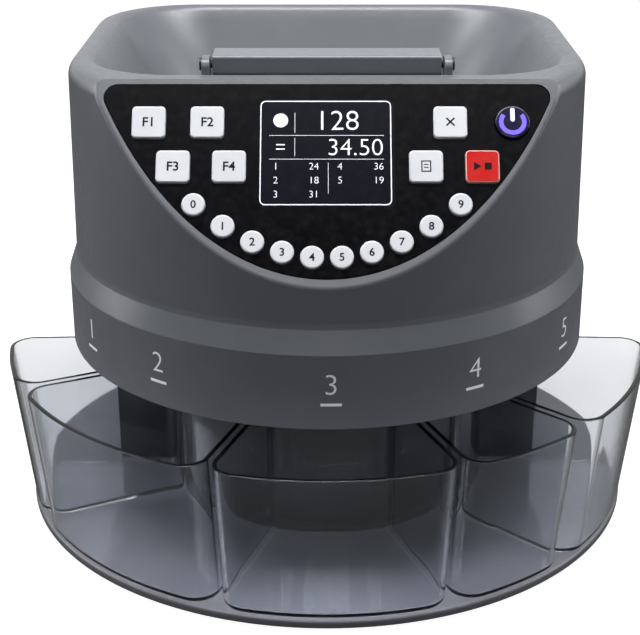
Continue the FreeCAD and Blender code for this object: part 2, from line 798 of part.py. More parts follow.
# Spur gear with involute flanks; turn sets the angle of its first tooth
def spur_gear(teeth, turn):
    pitch_r = GEAR_MODULE * teeth / 2
    root_r = pitch_r - 1.25 * GEAR_MODULE
    tip_r = pitch_r + GEAR_MODULE
    base_r = pitch_r * math.cos(math.radians(GEAR_PRESSURE))
    half_tooth = math.pi / (2 * teeth) - GEAR_BACKLASH / (2 * pitch_r)
    start_r = max(root_r, base_r)
    flank_r = [root_r, start_r, (start_r + pitch_r) / 2, pitch_r, (pitch_r + tip_r) / 2, tip_r]

    def involute(r):
        slope = math.acos(min(1.0, base_r / r))
        return math.tan(slope) - slope

    flank = [(r, half_tooth + involute(pitch_r) - involute(max(r, base_r))) for r in flank_r]
    points = []
    for tooth in range(teeth):
        middle = turn + 2 * math.pi * tooth / teeth
        for r, half in flank:
            points.append(Vector(r * math.cos(middle - half), r * math.sin(middle - half), GEAR_Z))
        for r, half in reversed(flank):
            points.append(Vector(r * math.cos(middle + half), r * math.sin(middle + half), GEAR_Z))
    return Part.Face(Part.makePolygon(distinct(points))).extrude(Vector(0, 0, GEAR_TOP - GEAR_Z))


def drive_gear():
    gear = spur_gear(GEAR_TEETH, math.pi / 2)
    gear = gear.fuse(rod(GEAR_BOSS_R, GEAR_TOP - OVERLAP, GEAR_BOSS_TOP))
    for i in range(GEAR_HOLES):
        place = radial(GEAR_HOLE_RING, 360 / GEAR_HOLES * i)
        gear = gear.cut(rod(GEAR_HOLE_R, 0, REACH, place.x, place.y))
    return gear.cut(rod(SHAFT_R + SEAT_GAP, 0, REACH))


def motor_pinion():
    half_pitch = math.pi / PINION_TEETH
    pinion = spur_gear(PINION_TEETH, -math.pi / 2 + half_pitch)
    pinion = pinion.fuse(rod(MOTOR_SHAFT_R, MOTOR_TOP - MOTOR_SHAFT_DEPTH, GEAR_Z + OVERLAP))
    pinion.translate(Vector(0, MOTOR_Y, 0))
    return pinion


def drive_motor():
    can = rod(MOTOR_R, MOTOR_Z, MOTOR_TOP)
    can = can.makeChamfer(MOTOR_CHAMFER, level_edges(can, MOTOR_Z) + level_edges(can, MOTOR_TOP))
    can = can.cut(rod(MOTOR_SHAFT_R + FIT_GAP, MOTOR_TOP - MOTOR_BORE_DEPTH, REACH))
    for x in (-TAB_X, TAB_X):
        can = can.fuse(block(x - TAB_W / 2, x + TAB_W / 2, -TAB_T / 2, TAB_T / 2, MOTOR_Z - TAB_LENGTH,
                             MOTOR_Z + OVERLAP))
    can.translate(Vector(0, MOTOR_Y, 0))
    return can


# The bracket hangs from the deck
def motor_bracket():
    wall_y = BRACKET_BACK - BRACKET_T
    shelf = block(-BRACKET_HALF, BRACKET_HALF, BRACKET_FRONT, BRACKET_BACK, MOTOR_TOP, MOTOR_TOP + BRACKET_T)
    back = block(-BRACKET_HALF, BRACKET_HALF, wall_y, BRACKET_BACK, MOTOR_TOP, DECK_Z)
    flange = block(-BRACKET_HALF, BRACKET_HALF, wall_y, BRACKET_FLANGE_BACK, DECK_Z - BRACKET_T, DECK_Z)
    return join([shelf, back, flange]).cut(rod(BRACKET_HOLE_R, 0, GEAR_Z, 0, MOTOR_Y))


# Electronics
def main_board():
    solids = [block(-MAIN_HALF, MAIN_HALF, MAIN_Y, MAIN_Y + BOARD_T, MAIN_LOW, MAIN_HIGH)]
    for x0, x1, z0, z1, height in MAIN_PARTS:
        solids.append(block(x0, x1, MAIN_Y - height, MAIN_Y, z0, z1))
    for x, z in MAIN_SPACERS:
        solids.append(back_rod(SPACER_R, MAIN_Y + BOARD_T, TOWER_BACK - WALL, x, z))
    return join(solids)


def power_supply_board():
    top = SUPPLY_Z + BOARD_T
    solids = [block(*SUPPLY_X, *SUPPLY_Y, SUPPLY_Z, top)]
    for x0, x1, y0, y1, height in (COIL, HEAT_SINK):
        solids.append(block(x0, x1, y0, y1, top, top + height))
    x, y, radius, height = TANK
    solids.append(rod(radius, top, top + height, x, y))
    for x in (SUPPLY_X[0] + SUPPLY_INSET, SUPPLY_X[1] - SUPPLY_INSET):
        for y in (SUPPLY_Y[0] + SUPPLY_INSET, SUPPLY_Y[1] - SUPPLY_INSET):
            solids.append(rod(SPACER_R, BASE_TOP, SUPPLY_Z, x, y))
    return join(solids)


# Wiring from the back of the keypad board down to a connector on the main board
HARNESS_R = 2.5
HARNESS_BEND = 16.0
HARNESS_START = Vector(-50, 40, BOARD_N - BOARD_T)
HARNESS_LEAVE = Vector(-50, 40, BOARD_N - BOARD_T - 16)
HARNESS_ROUTE = [
    PANEL_PLACE.multVec(HARNESS_START),
    PANEL_PLACE.multVec(HARNESS_LEAVE),
    Vector(-84, -80, 160),
    Vector(-112, -40, 144),
    Vector(-116, 30, 142),
    Vector(-106, 84, 142),
    Vector(-90, 108, 134),
    Vector(-90, 108, 104),
    Vector(-88, 108, 79),
    Vector(-70, 108, 79),
]


# Tube along straight runs joined by tangent arcs
def harness_tube(points, bend, radius):
    edges = []
    start = points[0]
    for before, at, after in zip(points, points[1:], points[2:]):
        arriving = (at - before).normalize()
        leaving = (after - at).normalize()
        half_turn = arriving.getAngle(leaving) / 2
        shorter = min((at - before).Length, (after - at).Length)
        reach = min(bend * math.tan(half_turn), 0.45 * shorter)
        enter = at - arriving * reach
        leave = at + leaving * reach
        inward = (leaving - arriving).normalize()
        r = reach / math.tan(half_turn)
        middle = at + inward * (r / math.cos(half_turn) - r)
        edges.append(line(start, enter))
        edges.append(arc(enter, middle, leave))
        start = leave
    edges.append(line(start, points[-1]))
    path = Part.Wire(edges)
    section = Part.Wire([Part.makeCircle(radius, points[0], points[1] - points[0])])
    return path.makePipeShell([section], True, False)


def panel_harness():
    return harness_tube(HARNESS_ROUTE, HARNESS_BEND, HARNESS_R)


# Head of the machine: a shell with a leaning cut for the panel
def upper_housing():
    collar_r = BODY_R + COLLAR_STEP
    wires = [plan_wire(SKIRT_R, SKIRT_R, SKIRT_BACK, PLAN_CORNER, SKIRT_TOP),
             plan_wire(collar_r, collar_r, BODY_BACK + COLLAR_STEP, PLAN_CORNER, COLLAR_TOP)]
    wires += [body_wire(z, rim_inset(z)) for z in (BODY_Z, RIM_ROUND_Z, RIM_BEND_Z, SEAM_Z)]
    outside = loft(wires).cut(ahead_of_panel(0))
    skirt_in = SKIRT_R - WALL
    hollow = [plan_wire(skirt_in, skirt_in, SKIRT_BACK - WALL, PLAN_CORNER, SKIRT_TOP - NEAR),
              body_wire(BODY_Z, WALL), body_wire(RIM_ROUND_Z, WALL), body_wire(SEAM_Z + OVERLAP, RIM_WALL)]
    inside = loft(hollow).cut(ahead_of_panel(-PANEL_WALL))
    shell = outside.cut(inside)
    seat = panel_prism(0, PANEL_TOP_V, -FASCIA_DEPTH, 1, PANEL_CORNER)
    opening = panel_prism(PANEL_LEDGE, PANEL_TOP_V - PANEL_LEDGE, -PANEL_OPENING_DEPTH, 1, PANEL_LEDGE_CORNER)
    return shell.cut(on_panel(seat)).cut(on_panel(opening))


# Rounded rectangle round the hopper's mouth and throat
def mouth_wire(half, front, back, corner, z):
    d = corner * (1 - math.sqrt(0.5))
    edges = [
        line(Vector(-half + corner, front, z), Vector(half - corner, front, z)),
        arc(Vector(half - corner, front, z), Vector(half - d, front + d, z), Vector(half, front + corner, z)),
        line(Vector(half, front + corner, z), Vector(half, back - corner, z)),
        arc(Vector(half, back - corner, z), Vector(half - d, back - d, z), Vector(half - corner, back, z)),
        line(Vector(half - corner, back, z), Vector(-half + corner, back, z)),
        arc(Vector(-half + corner, back, z), Vector(-half + d, back - d, z), Vector(-half, back - corner, z)),
        line(Vector(-half, back - corner, z), Vector(-half, front + corner, z)),
        arc(Vector(-half, front + corner, z), Vector(-half + d, front + d, z), Vector(-half + corner, front, z)),
    ]
    return Part.Wire(edges)


def hopper_bowl():
    inner = [mouth_wire(h, f, b, c, z) for z, h, f, b, c in BOWL_SECTIONS]
    z, h, f, b, c = BOWL_SECTIONS[-1]
    inner.append(mouth_wire(h + BOWL_LIP, f - BOWL_LIP, b + BOWL_LIP, c, z + 1))
    skin = [mouth_wire(h + BOWL_WALL, f - BOWL_WALL, b + BOWL_WALL, c + BOWL_WALL, z)
            for z, h, f, b, c in BOWL_SECTIONS[:-1]]
    skin.append(mouth_wire(h + BOWL_LIP, f - BOWL_WALL, b + BOWL_LIP, c, SEAM_Z))
    rim = loft([body_wire(z, rim_inset(z)) for z in (SEAM_Z, RIM_LIP_Z, RIM_TOP)]).cut(ahead_of_panel(0))
    solids = [join([loft(skin), rim]).cut(loft(inner))]
    for x in (-LUG_X - LUG_T, LUG_X):
        solids.append(block(x, x + LUG_T, LUG_FRONT, GATE_AXIS_Y + LUG_R, LUG_Z, GATE_AXIS_Z))
        solids.append(cross_rod(LUG_R, x, x + LUG_T, GATE_AXIS_Y, GATE_AXIS_Z))
    return join(solids).cut(cross_rod(GATE_PIN_R + SEAT_GAP, -REACH, REACH, GATE_AXIS_Y, GATE_AXIS_Z))


def feed_gate():
    bar = block(-GATE_HALF, GATE_HALF, GATE_FRONT, GATE_BACK, GATE_Z, GATE_TOP)
    long_edges = [e for e in bar.Edges if e.BoundBox.XLength > GATE_HALF]
    bar = bar.makeFillet(GATE_ROUND, long_edges)
    plate = block(-GATE_PLATE_HALF, GATE_PLATE_HALF, GATE_PLATE_BACK - GATE_PLATE_T, GATE_PLATE_BACK,
                  GATE_PLATE_Z, GATE_Z + GATE_ROUND)
    return join([bar, plate]).cut(cross_rod(GATE_PIN_R + RUN_GAP, -REACH, REACH, GATE_AXIS_Y, GATE_AXIS_Z))


def gate_pin():
    end = LUG_X + LUG_T
    solids = [cross_rod(GATE_PIN_R, -end, end, GATE_AXIS_Y, GATE_AXIS_Z)]
    for x in (-end - GATE_PIN_HEAD_T, end):
        solids.append(cross_rod(GATE_PIN_HEAD_R, x, x + GATE_PIN_HEAD_T, GATE_AXIS_Y, GATE_AXIS_Z))
    return join(solids)


# Control panel and its buttons
def square_button(u, v):
    half = SQUARE_KEY / 2
    cap = rounded_prism(u, v, half, half, SQUARE_KEY_CORNER, KEY_FOOT, KEY_RISE)
    cap = cap.makeFillet(SQUARE_KEY_ROUND, level_edges(cap, KEY_RISE))
    wide = half + KEY_FLANGE
    flange = rounded_prism(u, v, wide, wide, SQUARE_KEY_CORNER, KEY_FOOT, KEY_FLANGE_TOP)
    return on_panel(join([cap, flange]))


def round_button(u, v, radius):
    cap = rod(radius, KEY_FOOT, KEY_RISE, u, v)
    cap = cap.makeFillet(ROUND_KEY_ROUND, level_edges(cap, KEY_RISE))
    return on_panel(join([cap, rod(radius + KEY_FLANGE, KEY_FOOT, KEY_FLANGE_TOP, u, v)]))


def panel_fascia():
    back = -FASCIA_DEPTH
    solids = [panel_prism(FIT_GAP, PANEL_TOP_V - FIT_GAP, back, FASCIA_TOP, PANEL_CORNER - FIT_GAP)]
    for u, v in FASCIA_POSTS:
        solids.append(rod(FASCIA_POST_R, BOARD_N, back + OVERLAP, u, v))
    plate = join(solids)
    half = SQUARE_KEY / 2 + FIT_GAP
    for u, v in SQUARE_KEYS.values():
        plate = plate.cut(rounded_prism(u, v, half, half, SQUARE_KEY_CORNER + FIT_GAP, BOARD_N, 1))
    for number in range(10):
        u, v = digit_uv(number)
        plate = plate.cut(rod(ROUND_KEY_R + FIT_GAP, BOARD_N, 1, u, v))
    plate = plate.cut(rod(POWER_KEY_R + FIT_GAP, BOARD_N, 1, *POWER_UV))
    window = rounded_prism(0, DISPLAY_V, DISPLAY_HALF_U + DISPLAY_GAP, DISPLAY_HALF_V + DISPLAY_GAP,
                           DISPLAY_CORNER + DISPLAY_GAP, BOARD_N, 1)
    return on_panel(plate.cut(window))


def display_window():
    pane = rounded_prism(0, DISPLAY_V, DISPLAY_HALF_U, DISPLAY_HALF_V, DISPLAY_CORNER, -FASCIA_DEPTH, FASCIA_TOP)
    return on_panel(pane)


def display_module():
    half_u = DISPLAY_HALF_U + MODULE_BORDER
    half_v = DISPLAY_HALF_V + MODULE_BORDER
    return on_panel(rounded_prism(0, DISPLAY_V, half_u, half_v, MODULE_CORNER, MODULE_BACK, -FASCIA_DEPTH))


# Board with a small dome under each key and posts under the display
def keypad_board():
    solids = [panel_prism(BOARD_INSET, BOARD_TOP_V, BOARD_N - BOARD_T, BOARD_N, BOARD_CORNER)]
    for u, v in list(SQUARE_KEYS.values()) + [digit_uv(number) for number in range(10)] + [POWER_UV]:
        solids.append(rod(DOME_R, BOARD_N - OVERLAP, DOME_TOP, u, v))
    for u in (-MODULE_POST_U, MODULE_POST_U):
        for v in (DISPLAY_V - MODULE_POST_V, DISPLAY_V + MODULE_POST_V):
            solids.append(rod(MODULE_POST_R, BOARD_N - OVERLAP, MODULE_BACK, u, v))
    return on_panel(join(solids))


def write(name, shape):
    shape = shape.copy()
    shape.translate(Vector(0, AXIS_Y, 0))
    shape.exportStep("parts/" + name + ".step")
    box = shape.optimalBoundingBox(False)
    print("%-20s solids %d valid %s  volume %9.1f  x %.1f %.1f  y %.1f %.1f  z %.1f %.1f" % (
        name, len(shape.Solids), shape.isValid(), shape.Volume,
        box.XMin, box.XMax, box.YMin, box.YMax, box.ZMin, box.ZMax))


os.makedirs("parts", exist_ok=True)

for maker in (base_plate, rubber_feet, core_drum, rear_tower, rear_cover, cover_screws, chassis_screws,
              power_inlet, data_port, sorter_deck, skirt_ring, sort_plate, sort_fence, coin_chutes,
              coin_sensors, disc_cover, feed_disc, disc_mat, disc_nut, disc_shaft, shaft_bearings,
              bearing_housing, drive_gear, motor_pinion, drive_motor, motor_bracket, main_board,
              power_supply_board, panel_harness, upper_housing, hopper_bowl, feed_gate, gate_pin,
              panel_fascia, display_window, display_module, keypad_board):
    write(maker.__name__, maker())

for place, left, right in zip(TRAY_NAMES, TRAY_EDGES, TRAY_EDGES[1:]):
    write("coin_tray_" + place, coin_tray(left, right))

for name, (u, v) in SQUARE_KEYS.items():
    write(name, square_button(u, v))

for number in range(10):
    u, v = digit_uv(number)
    write("number_key_%d" % number, round_button(u, v, ROUND_KEY_R))

write("power_button", round_button(POWER_UV[0], POWER_UV[1], POWER_KEY_R))
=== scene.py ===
# %% [markdown]
# # A table-top sorting machine, dressed for its picture
# The imported model is the frame of this lesson. Every piece below is drawn in metres, in the place of
# the solid that it stands for, so nothing has to be fitted afterwards. We load that frame first and
# read the axis of the feed disc from the box of that disc.

# %% Load the frame
import json
import math

import bmesh
import bpy
from mathutils import Matrix, Vector


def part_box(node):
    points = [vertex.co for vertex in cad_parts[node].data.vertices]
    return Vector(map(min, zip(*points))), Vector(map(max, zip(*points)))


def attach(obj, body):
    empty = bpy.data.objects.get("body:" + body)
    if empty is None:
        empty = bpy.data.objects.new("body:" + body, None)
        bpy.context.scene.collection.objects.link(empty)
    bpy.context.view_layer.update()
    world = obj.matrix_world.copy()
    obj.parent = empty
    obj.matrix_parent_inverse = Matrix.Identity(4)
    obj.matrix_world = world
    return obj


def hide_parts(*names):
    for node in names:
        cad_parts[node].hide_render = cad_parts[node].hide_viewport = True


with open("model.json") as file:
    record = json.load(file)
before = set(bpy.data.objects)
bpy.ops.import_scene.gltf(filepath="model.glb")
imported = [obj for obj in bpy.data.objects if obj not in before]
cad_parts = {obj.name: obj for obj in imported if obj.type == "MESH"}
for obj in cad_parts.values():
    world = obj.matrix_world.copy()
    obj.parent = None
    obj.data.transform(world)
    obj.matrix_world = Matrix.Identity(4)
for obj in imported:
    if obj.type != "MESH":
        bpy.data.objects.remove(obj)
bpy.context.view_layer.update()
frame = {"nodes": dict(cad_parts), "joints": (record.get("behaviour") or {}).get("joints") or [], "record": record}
nodes = frame["nodes"]
disc_low, disc_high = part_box("feed_disc")
AXIS_Y = (disc_low.y + disc_high.y) / 2
MM = 0.001

# %% [markdown]
# ## Camera
# The photograph was taken from the front, a little above the machine, with a long lens. The lens is
# written as a focal length in pixels of the picture, and the shift puts the optical axis where the
# picture has it, because the machine was cropped off centre.

# %% Camera
PICTURE_W = 640
PICTURE_H = 635
FOCAL_PIXELS = 1459.3
OPTICAL_AXIS = (327.0, 290.0)
CAMERA_PLACE = (0.0, -0.7591, 0.4183)
CAMERA_TILT = 68.703
SENSOR = 36.0
NEAREST = 0.01

lens = bpy.data.cameras.new("camera")
lens.sensor_width = SENSOR
lens.lens = FOCAL_PIXELS / PICTURE_W * SENSOR
lens.shift_x = (PICTURE_W / 2 - OPTICAL_AXIS[0]) / PICTURE_W
lens.shift_y = (OPTICAL_AXIS[1] - PICTURE_H / 2) / PICTURE_W
lens.clip_start = NEAREST
camera = bpy.data.objects.new("camera", lens)
camera.location = CAMERA_PLACE
camera.rotation_euler = (math.radians(CAMERA_TILT), 0, 0)
bpy.context.collection.objects.link(camera)
bpy.context.scene.camera = camera
bpy.context.scene.view_settings.view_transform = "Standard"
print("lens", round(lens.lens, 1), "mm, shift", round(lens.shift_x, 4), round(lens.shift_y, 4))

# %% [markdown]
# ## Light
# A product like this is lit by two tall softboxes at its sides, a wide one overhead and a weak one in
# front. The world adds a faint, even light. It is white to the camera and greyer through clear plastic,
# and glossy faces mirror a backdrop and a ceiling in it.

# %% Softboxes
# Place, aim, width and height in metres, then power in watts
LAMPS = {
    "softbox_left": ((-1.15, 0.16, 0.68), (0, 0.05, 0.14), 0.5, 1.1, 10.2),
    "softbox_right": ((1.15, 0.16, 0.68), (0, 0.05, 0.14), 0.5, 1.1, 8.2),
    "softbox_top": ((0, -0.14, 1.35), (0, -0.08, 0.14), 1.2, 0.5, 27.0),
    "softbox_front": ((0, -1.45, 1.15), (0, -0.12, 0.2), 0.9, 0.4, 6.0),
}

for name, (place, aim, width, height, watts) in LAMPS.items():
    lamp = bpy.data.lights.new(name, "AREA")
    lamp.shape = "RECTANGLE"
    lamp.size = width
    lamp.size_y = height
    lamp.energy = watts
    holder = bpy.data.objects.new(name, lamp)
    holder.location = place
    holder.rotation_euler = (Vector(aim) - Vector(place)).to_track_quat("-Z", "Y").to_euler()
    bpy.context.collection.objects.link(holder)
print("lamps", len(LAMPS))

# %% World
# How bright the world is as plain light, through clear plastic and once mirrored
AMBIENT = 0.03
THROUGH = 0.55
MIRRORED = 0.08
# How bright, and how far back or up a ray points where it starts and where it is full
BACKDROP = (0.75, 0.1, 0.8)
CEILING = (0.9, 0.8, 0.9)


def settle(node, settings):
    """Gives inputs of a shader node their values."""
    for socket, value in settings.items():
        node.inputs[socket].default_value = value


def spread(tree, factor, low, high, start=0.0, end=1.0):
    """Spreads a factor that runs from start to end between two values."""
    node = tree.nodes.new("ShaderNodeMapRange")
    settle(node, {"From Min": start, "From Max": end, "To Min": low, "To Max": high})
    tree.links.new(factor, node.inputs["Value"])
    return node.outputs["Result"]


def combine(tree, operation, first, second):
    node = tree.nodes.new("ShaderNodeMath")
    node.operation = operation
    tree.links.new(first, node.inputs[0])
    tree.links.new(second, node.inputs[1])
    return node.outputs[0]


def seen_directly(tree):
    """1 for rays of the camera, less through clear plastic, little once mirrored, and else 0."""
    path = tree.nodes.new("ShaderNodeLightPath")
    through = spread(tree, path.outputs["Is Transmission Ray"], 0.0, THROUGH)
    through = combine(tree, "MAXIMUM", path.outputs["Is Camera Ray"], through)
    return combine(tree, "MULTIPLY", through, spread(tree, path.outputs["Glossy Depth"], 1.0, MIRRORED))


def blend(tree, factor, first, second):
    """Mixes two shaders by a factor and makes the mix the surface."""
    mix = tree.nodes.new("ShaderNodeMixShader")
    tree.links.new(factor, mix.inputs["Fac"])
    tree.links.new(first.outputs[0], mix.inputs[1])
    tree.links.new(second.outputs[0], mix.inputs[2])
    tree.links.new(mix.outputs[0], tree.nodes["Material Output"].inputs["Surface"])


world = bpy.data.worlds.new("studio")
world.use_nodes = True
bpy.context.scene.world = world
tree = world.node_tree
sky = tree.nodes["Background"]
sky.inputs["Color"].default_value = (1, 1, 1, 1)
place = tree.nodes.new("ShaderNodeTexCoord")
direction = tree.nodes.new("ShaderNodeSeparateXYZ")
tree.links.new(place.outputs["Generated"], direction.inputs[0])
behind = spread(tree, direction.outputs["Y"], 0.0, *BACKDROP)
above = spread(tree, direction.outputs["Z"], 0.0, *CEILING)
mirror = tree.nodes.new("ShaderNodeLightPath").outputs["Is Glossy Ray"]
room = combine(tree, "MULTIPLY", combine(tree, "MAXIMUM", behind, above), mirror)
strength = combine(tree, "MAXIMUM", room, spread(tree, seen_directly(tree), AMBIENT, 1.0))
tree.links.new(strength, sky.inputs["Strength"])
print("world of", len(tree.nodes), "shader nodes")

# %% [markdown]
# ## Floor
# The machine stands on a plain pale floor. Part of what the camera sees of it is a steady white, so
# that it looks like paper, and the rest is lit, so that it keeps the soft shadow of the machine. It
# throws little light back, or the front of the machine would lose its depth.

# %% Floor
FLOOR_SIZE = 12.0
FLOOR_WHITE = 0.62
FLOOR_GLOW = 1.52
FLOOR_GREY = 0.86
FLOOR_BOUNCE = 0.08
FLOOR_ROUGHNESS = 0.9
FLOOR_SPECULAR = 0.1

bpy.ops.mesh.primitive_plane_add(size=FLOOR_SIZE)
floor = bpy.context.object
floor.name = "floor"
paper = bpy.data.materials.new("pale_floor")
paper.use_nodes = True
tree = paper.node_tree
sheet = tree.nodes["Principled BSDF"]
tree.links.new(spread(tree, seen_directly(tree), FLOOR_BOUNCE, FLOOR_GREY), sheet.inputs["Base Color"])
settle(sheet, {"Roughness": FLOOR_ROUGHNESS, "Specular IOR Level": FLOOR_SPECULAR})
glow = tree.nodes.new("ShaderNodeEmission")
glow.inputs["Strength"].default_value = FLOOR_GLOW
blend(tree, spread(tree, seen_directly(tree), 0.0, FLOOR_WHITE), sheet, glow)
floor.data.materials.append(paper)
print("floor", FLOOR_SIZE, "m")

# %% [markdown]
# ## Finishes
# Nearly every piece is moulded plastic. Its colour is never quite even, its gloss changes a little
# from place to place, and its mould leaves a fine grain that takes the hard edge off reflections. All
# three come from noise on the object's own coordinates, at three scales: centimetres for the colour,
# millimetres for the gloss, and under a millimetre for the grain.

# %% Shader helpers
NOISE_LOW = 0.3
NOISE_HIGH = 0.7
SRGB_KNEE = 0.04045


def srgb(*values):
    """A colour written as 0 to 255, as the shader wants it: the curve of sRGB undone."""
    shares = [value / 255 for value in values]
    return tuple(c / 12.92 if c < SRGB_KNEE else ((c + 0.055) / 1.055) ** 2.4 for c in shares)


def shade(colour, amount):
    return tuple(min(1.0, c * amount) for c in colour) + (1.0,)


def new_finish(name):
    finish = bpy.data.materials.new(name)
    finish.use_nodes = True
    return finish, finish.node_tree, finish.node_tree.nodes["Principled BSDF"]


def noise(tree, scale, detail, stretch=(1, 1, 1)):
    """Noise on the piece's own coordinates, squeezed or drawn out along the axes by stretch."""
    place = tree.nodes.new("ShaderNodeTexCoord")
    turn = tree.nodes.new("ShaderNodeMapping")
    turn.inputs["Scale"].default_value = stretch
    texture = tree.nodes.new("ShaderNodeTexNoise")
    settle(texture, {"Scale": scale, "Detail": detail})
    tree.links.new(place.outputs["Object"], turn.inputs["Vector"])
    tree.links.new(turn.outputs["Vector"], texture.inputs["Vector"])
    return texture.outputs["Fac"]


def mottle(tree, shader, factor, colour, amount):
    """Lets the base colour wander between a darker and a lighter shade."""
    ramp = tree.nodes.new("ShaderNodeValToRGB")
    ramp.color_ramp.elements[0].position = NOISE_LOW
    ramp.color_ramp.elements[1].position = NOISE_HIGH
    ramp.color_ramp.elements[0].color = shade(colour, 1 - amount)
    ramp.color_ramp.elements[1].color = shade(colour, 1 + amount)
    tree.links.new(factor, ramp.inputs["Fac"])
    tree.links.new(ramp.outputs["Color"], shader.inputs["Base Color"])


def gloss(tree, shader, factor, low, high):
    tree.links.new(spread(tree, factor, low, high, NOISE_LOW, NOISE_HIGH), shader.inputs["Roughness"])


def grain(tree, shader, factor, strength, depth):
    bump = tree.nodes.new("ShaderNodeBump")
    settle(bump, {"Strength": strength, "Distance": depth})
    tree.links.new(factor, bump.inputs["Height"])
    tree.links.new(bump.outputs["Normal"], shader.inputs["Normal"])


def uneven(name, noises, colour, span, rough, strength, depth, stretch=(1, 1, 1)):
    """A finish whose colour, gloss and grain each follow a noise of their own."""
    finish, tree, shader = new_finish(name)
    clouds, sheen, bumps = [noise(tree, *settings, stretch) for settings in noises]
    mottle(tree, shader, clouds, colour, span)
    gloss(tree, shader, sheen, *rough)
    grain(tree, shader, bumps, strength, depth * MM)
    return finish, tree, shader


print("shader helpers ready")

# %% Plastic and rubber
# Scale and detail of the noises for colour, gloss and grain
PLASTIC_NOISE = ((35, 4), (240, 3), (1700, 2))
PLASTIC_SPAN = 0.05
GRAIN_STRENGTH = 0.35
COAT_ROUGHNESS = 0.08


def moulded(name, colour, roughness, depth, coat=0.0, specular=0.5):
    """Moulded plastic, with a grain so many millimetres deep."""
    rough = (roughness - PLASTIC_SPAN, roughness + PLASTIC_SPAN)
    finish, tree, shader = uneven(name, PLASTIC_NOISE, colour, PLASTIC_SPAN, rough, GRAIN_STRENGTH, depth)
    settle(shader, {"Specular IOR Level": specular, "Coat Weight": coat, "Coat Roughness": COAT_ROUGHNESS})
    return finish


housing_plastic = moulded("housing_plastic", srgb(91, 94, 99), 0.36, 0.02)
gate_plastic = moulded("gate_plastic", srgb(102, 106, 112), 0.36, 0.02)
skirt_plastic = moulded("skirt_plastic", srgb(96, 98, 105), 0.6, 0.02, specular=0.12)
base_plastic = moulded("base_plastic", srgb(95, 95, 100), 0.42, 0.06)
core_plastic = moulded("core_plastic", srgb(20, 20, 22), 0.55, 0.02)
panel_gloss = moulded("panel_gloss", srgb(6, 6, 9), 0.16, 0.004, specular=0.25)
display_gloss = moulded("display_gloss", srgb(16, 16, 25), 0.14, 0.003, specular=0.25)
key_plastic = moulded("key_plastic", srgb(190, 192, 197), 0.34, 0.01)
red_plastic = moulded("red_plastic", srgb(174, 10, 5), 0.34, 0.01, specular=0.25)
# A pale rose for the rounded edge and sides of the red key: a painted highlight round its red top
red_key_highlight = moulded("red_key_highlight", srgb(212, 166, 158), 0.32, 0.01)
power_plastic = moulded("power_plastic", srgb(18, 14, 46), 0.14, 0.004)
rubber = moulded("rubber", srgb(24, 24, 25), 0.75, 0.15, specular=0.3)
nylon = moulded("nylon", srgb(226, 223, 212), 0.45, 0.04)
board_lacquer = moulded("board_lacquer", srgb(28, 84, 48), 0.30, 0.05, coat=0.4)
ink_dark = moulded("ink_dark", srgb(10, 10, 13), 0.6, 0.01, specular=0.1)
ink_white = moulded("ink_white", srgb(238, 239, 242), 0.5, 0.01)
print("plastic finishes ready")

# %% [markdown]
# Brushed steel is the same three noises again, but drawn out along one axis, so that the grain turns
# into scratches. Cast aluminium keeps round grain. The trays are clear plastic with a faint tint: a
# solid wall of it bends light, so its edges draw themselves as dark lines.

# %% Metal
METAL_NOISE = ((90, 3), (400, 3), (900, 2))
METAL_SPAN = 0.08
SCRATCH_STRENGTH = 0.25
SCRATCH_DEPTH = 0.03


def metal(name, colour, roughness, stretch):
    rough = (roughness - METAL_SPAN, roughness + METAL_SPAN)
    finish, tree, shader = uneven(name, METAL_NOISE, colour, METAL_SPAN, rough, SCRATCH_STRENGTH,
                                  SCRATCH_DEPTH, stretch)
    shader.inputs["Metallic"].default_value = 1.0
    return finish


steel = metal("steel", srgb(190, 190, 192), 0.32, (1, 0.05, 1))
dark_steel = metal("dark_steel", srgb(52, 53, 56), 0.42, (0.05, 1, 1))
aluminium = metal("aluminium", srgb(205, 207, 210), 0.38, (1, 1, 1))
print("metal finishes ready")

# %% Clear plastic and lit marks
CLEARNESS = 1.0
CLEAR_IOR = 1.47
CLEAR_NOISE = ((25, 2), (120, 3), (60, 1))
CLEAR_SPAN = 0.04
TINT_SPAN = 0.03
WAVE_STRENGTH = 0.05
WAVE_DEPTH = 0.05
LIGHT_NOISE = ((300, 2), (240, 3))
LIGHT_SPAN = 0.1
LIGHT_ROUGHNESS = (0.4, 0.5)


def clear(name, tint, roughness):
    """Clear plastic. Rays from lamps pass straight through it, so that what it holds is lit."""
    rough = (roughness, roughness + CLEAR_SPAN)
    finish, tree, shader = uneven(name, CLEAR_NOISE, tint, TINT_SPAN, rough, WAVE_STRENGTH, WAVE_DEPTH)
    settle(shader, {"Transmission Weight": CLEARNESS, "IOR": CLEAR_IOR})
    window = tree.nodes.new("ShaderNodeBsdfTransparent")
    window.inputs["Color"].default_value = shade(tint, 1.0)
    path = tree.nodes.new("ShaderNodeLightPath")
    blend(tree, path.outputs["Is Shadow Ray"], shader, window)
    return finish


def lit(name, colour, strength):
    """Print or a symbol that shines by itself, a little unevenly."""
    finish, tree, shader = new_finish(name)
    mottle(tree, shader, noise(tree, *LIGHT_NOISE[0]), colour, LIGHT_SPAN)
    gloss(tree, shader, noise(tree, *LIGHT_NOISE[1]), *LIGHT_ROUGHNESS)
    settle(shader, {"Emission Color": shade(colour, 1.0), "Emission Strength": strength})
    return finish


tray_clear = clear("tray_clear", srgb(241, 243, 246), 0.02)
display_light = lit("display_light", srgb(214, 217, 224), 0.42)
power_light = lit("power_light", srgb(92, 72, 226), 0.72)
power_white = lit("power_white", srgb(206, 202, 248), 0.66)
print("clear and lit finishes ready")

# %% [markdown]
# ## Finishes of the solids
# Every solid of the frame names a material slot in the record. Where a solid stays in the picture, it
# takes the finish of its slot here; pieces modelled below take the place of the rest.

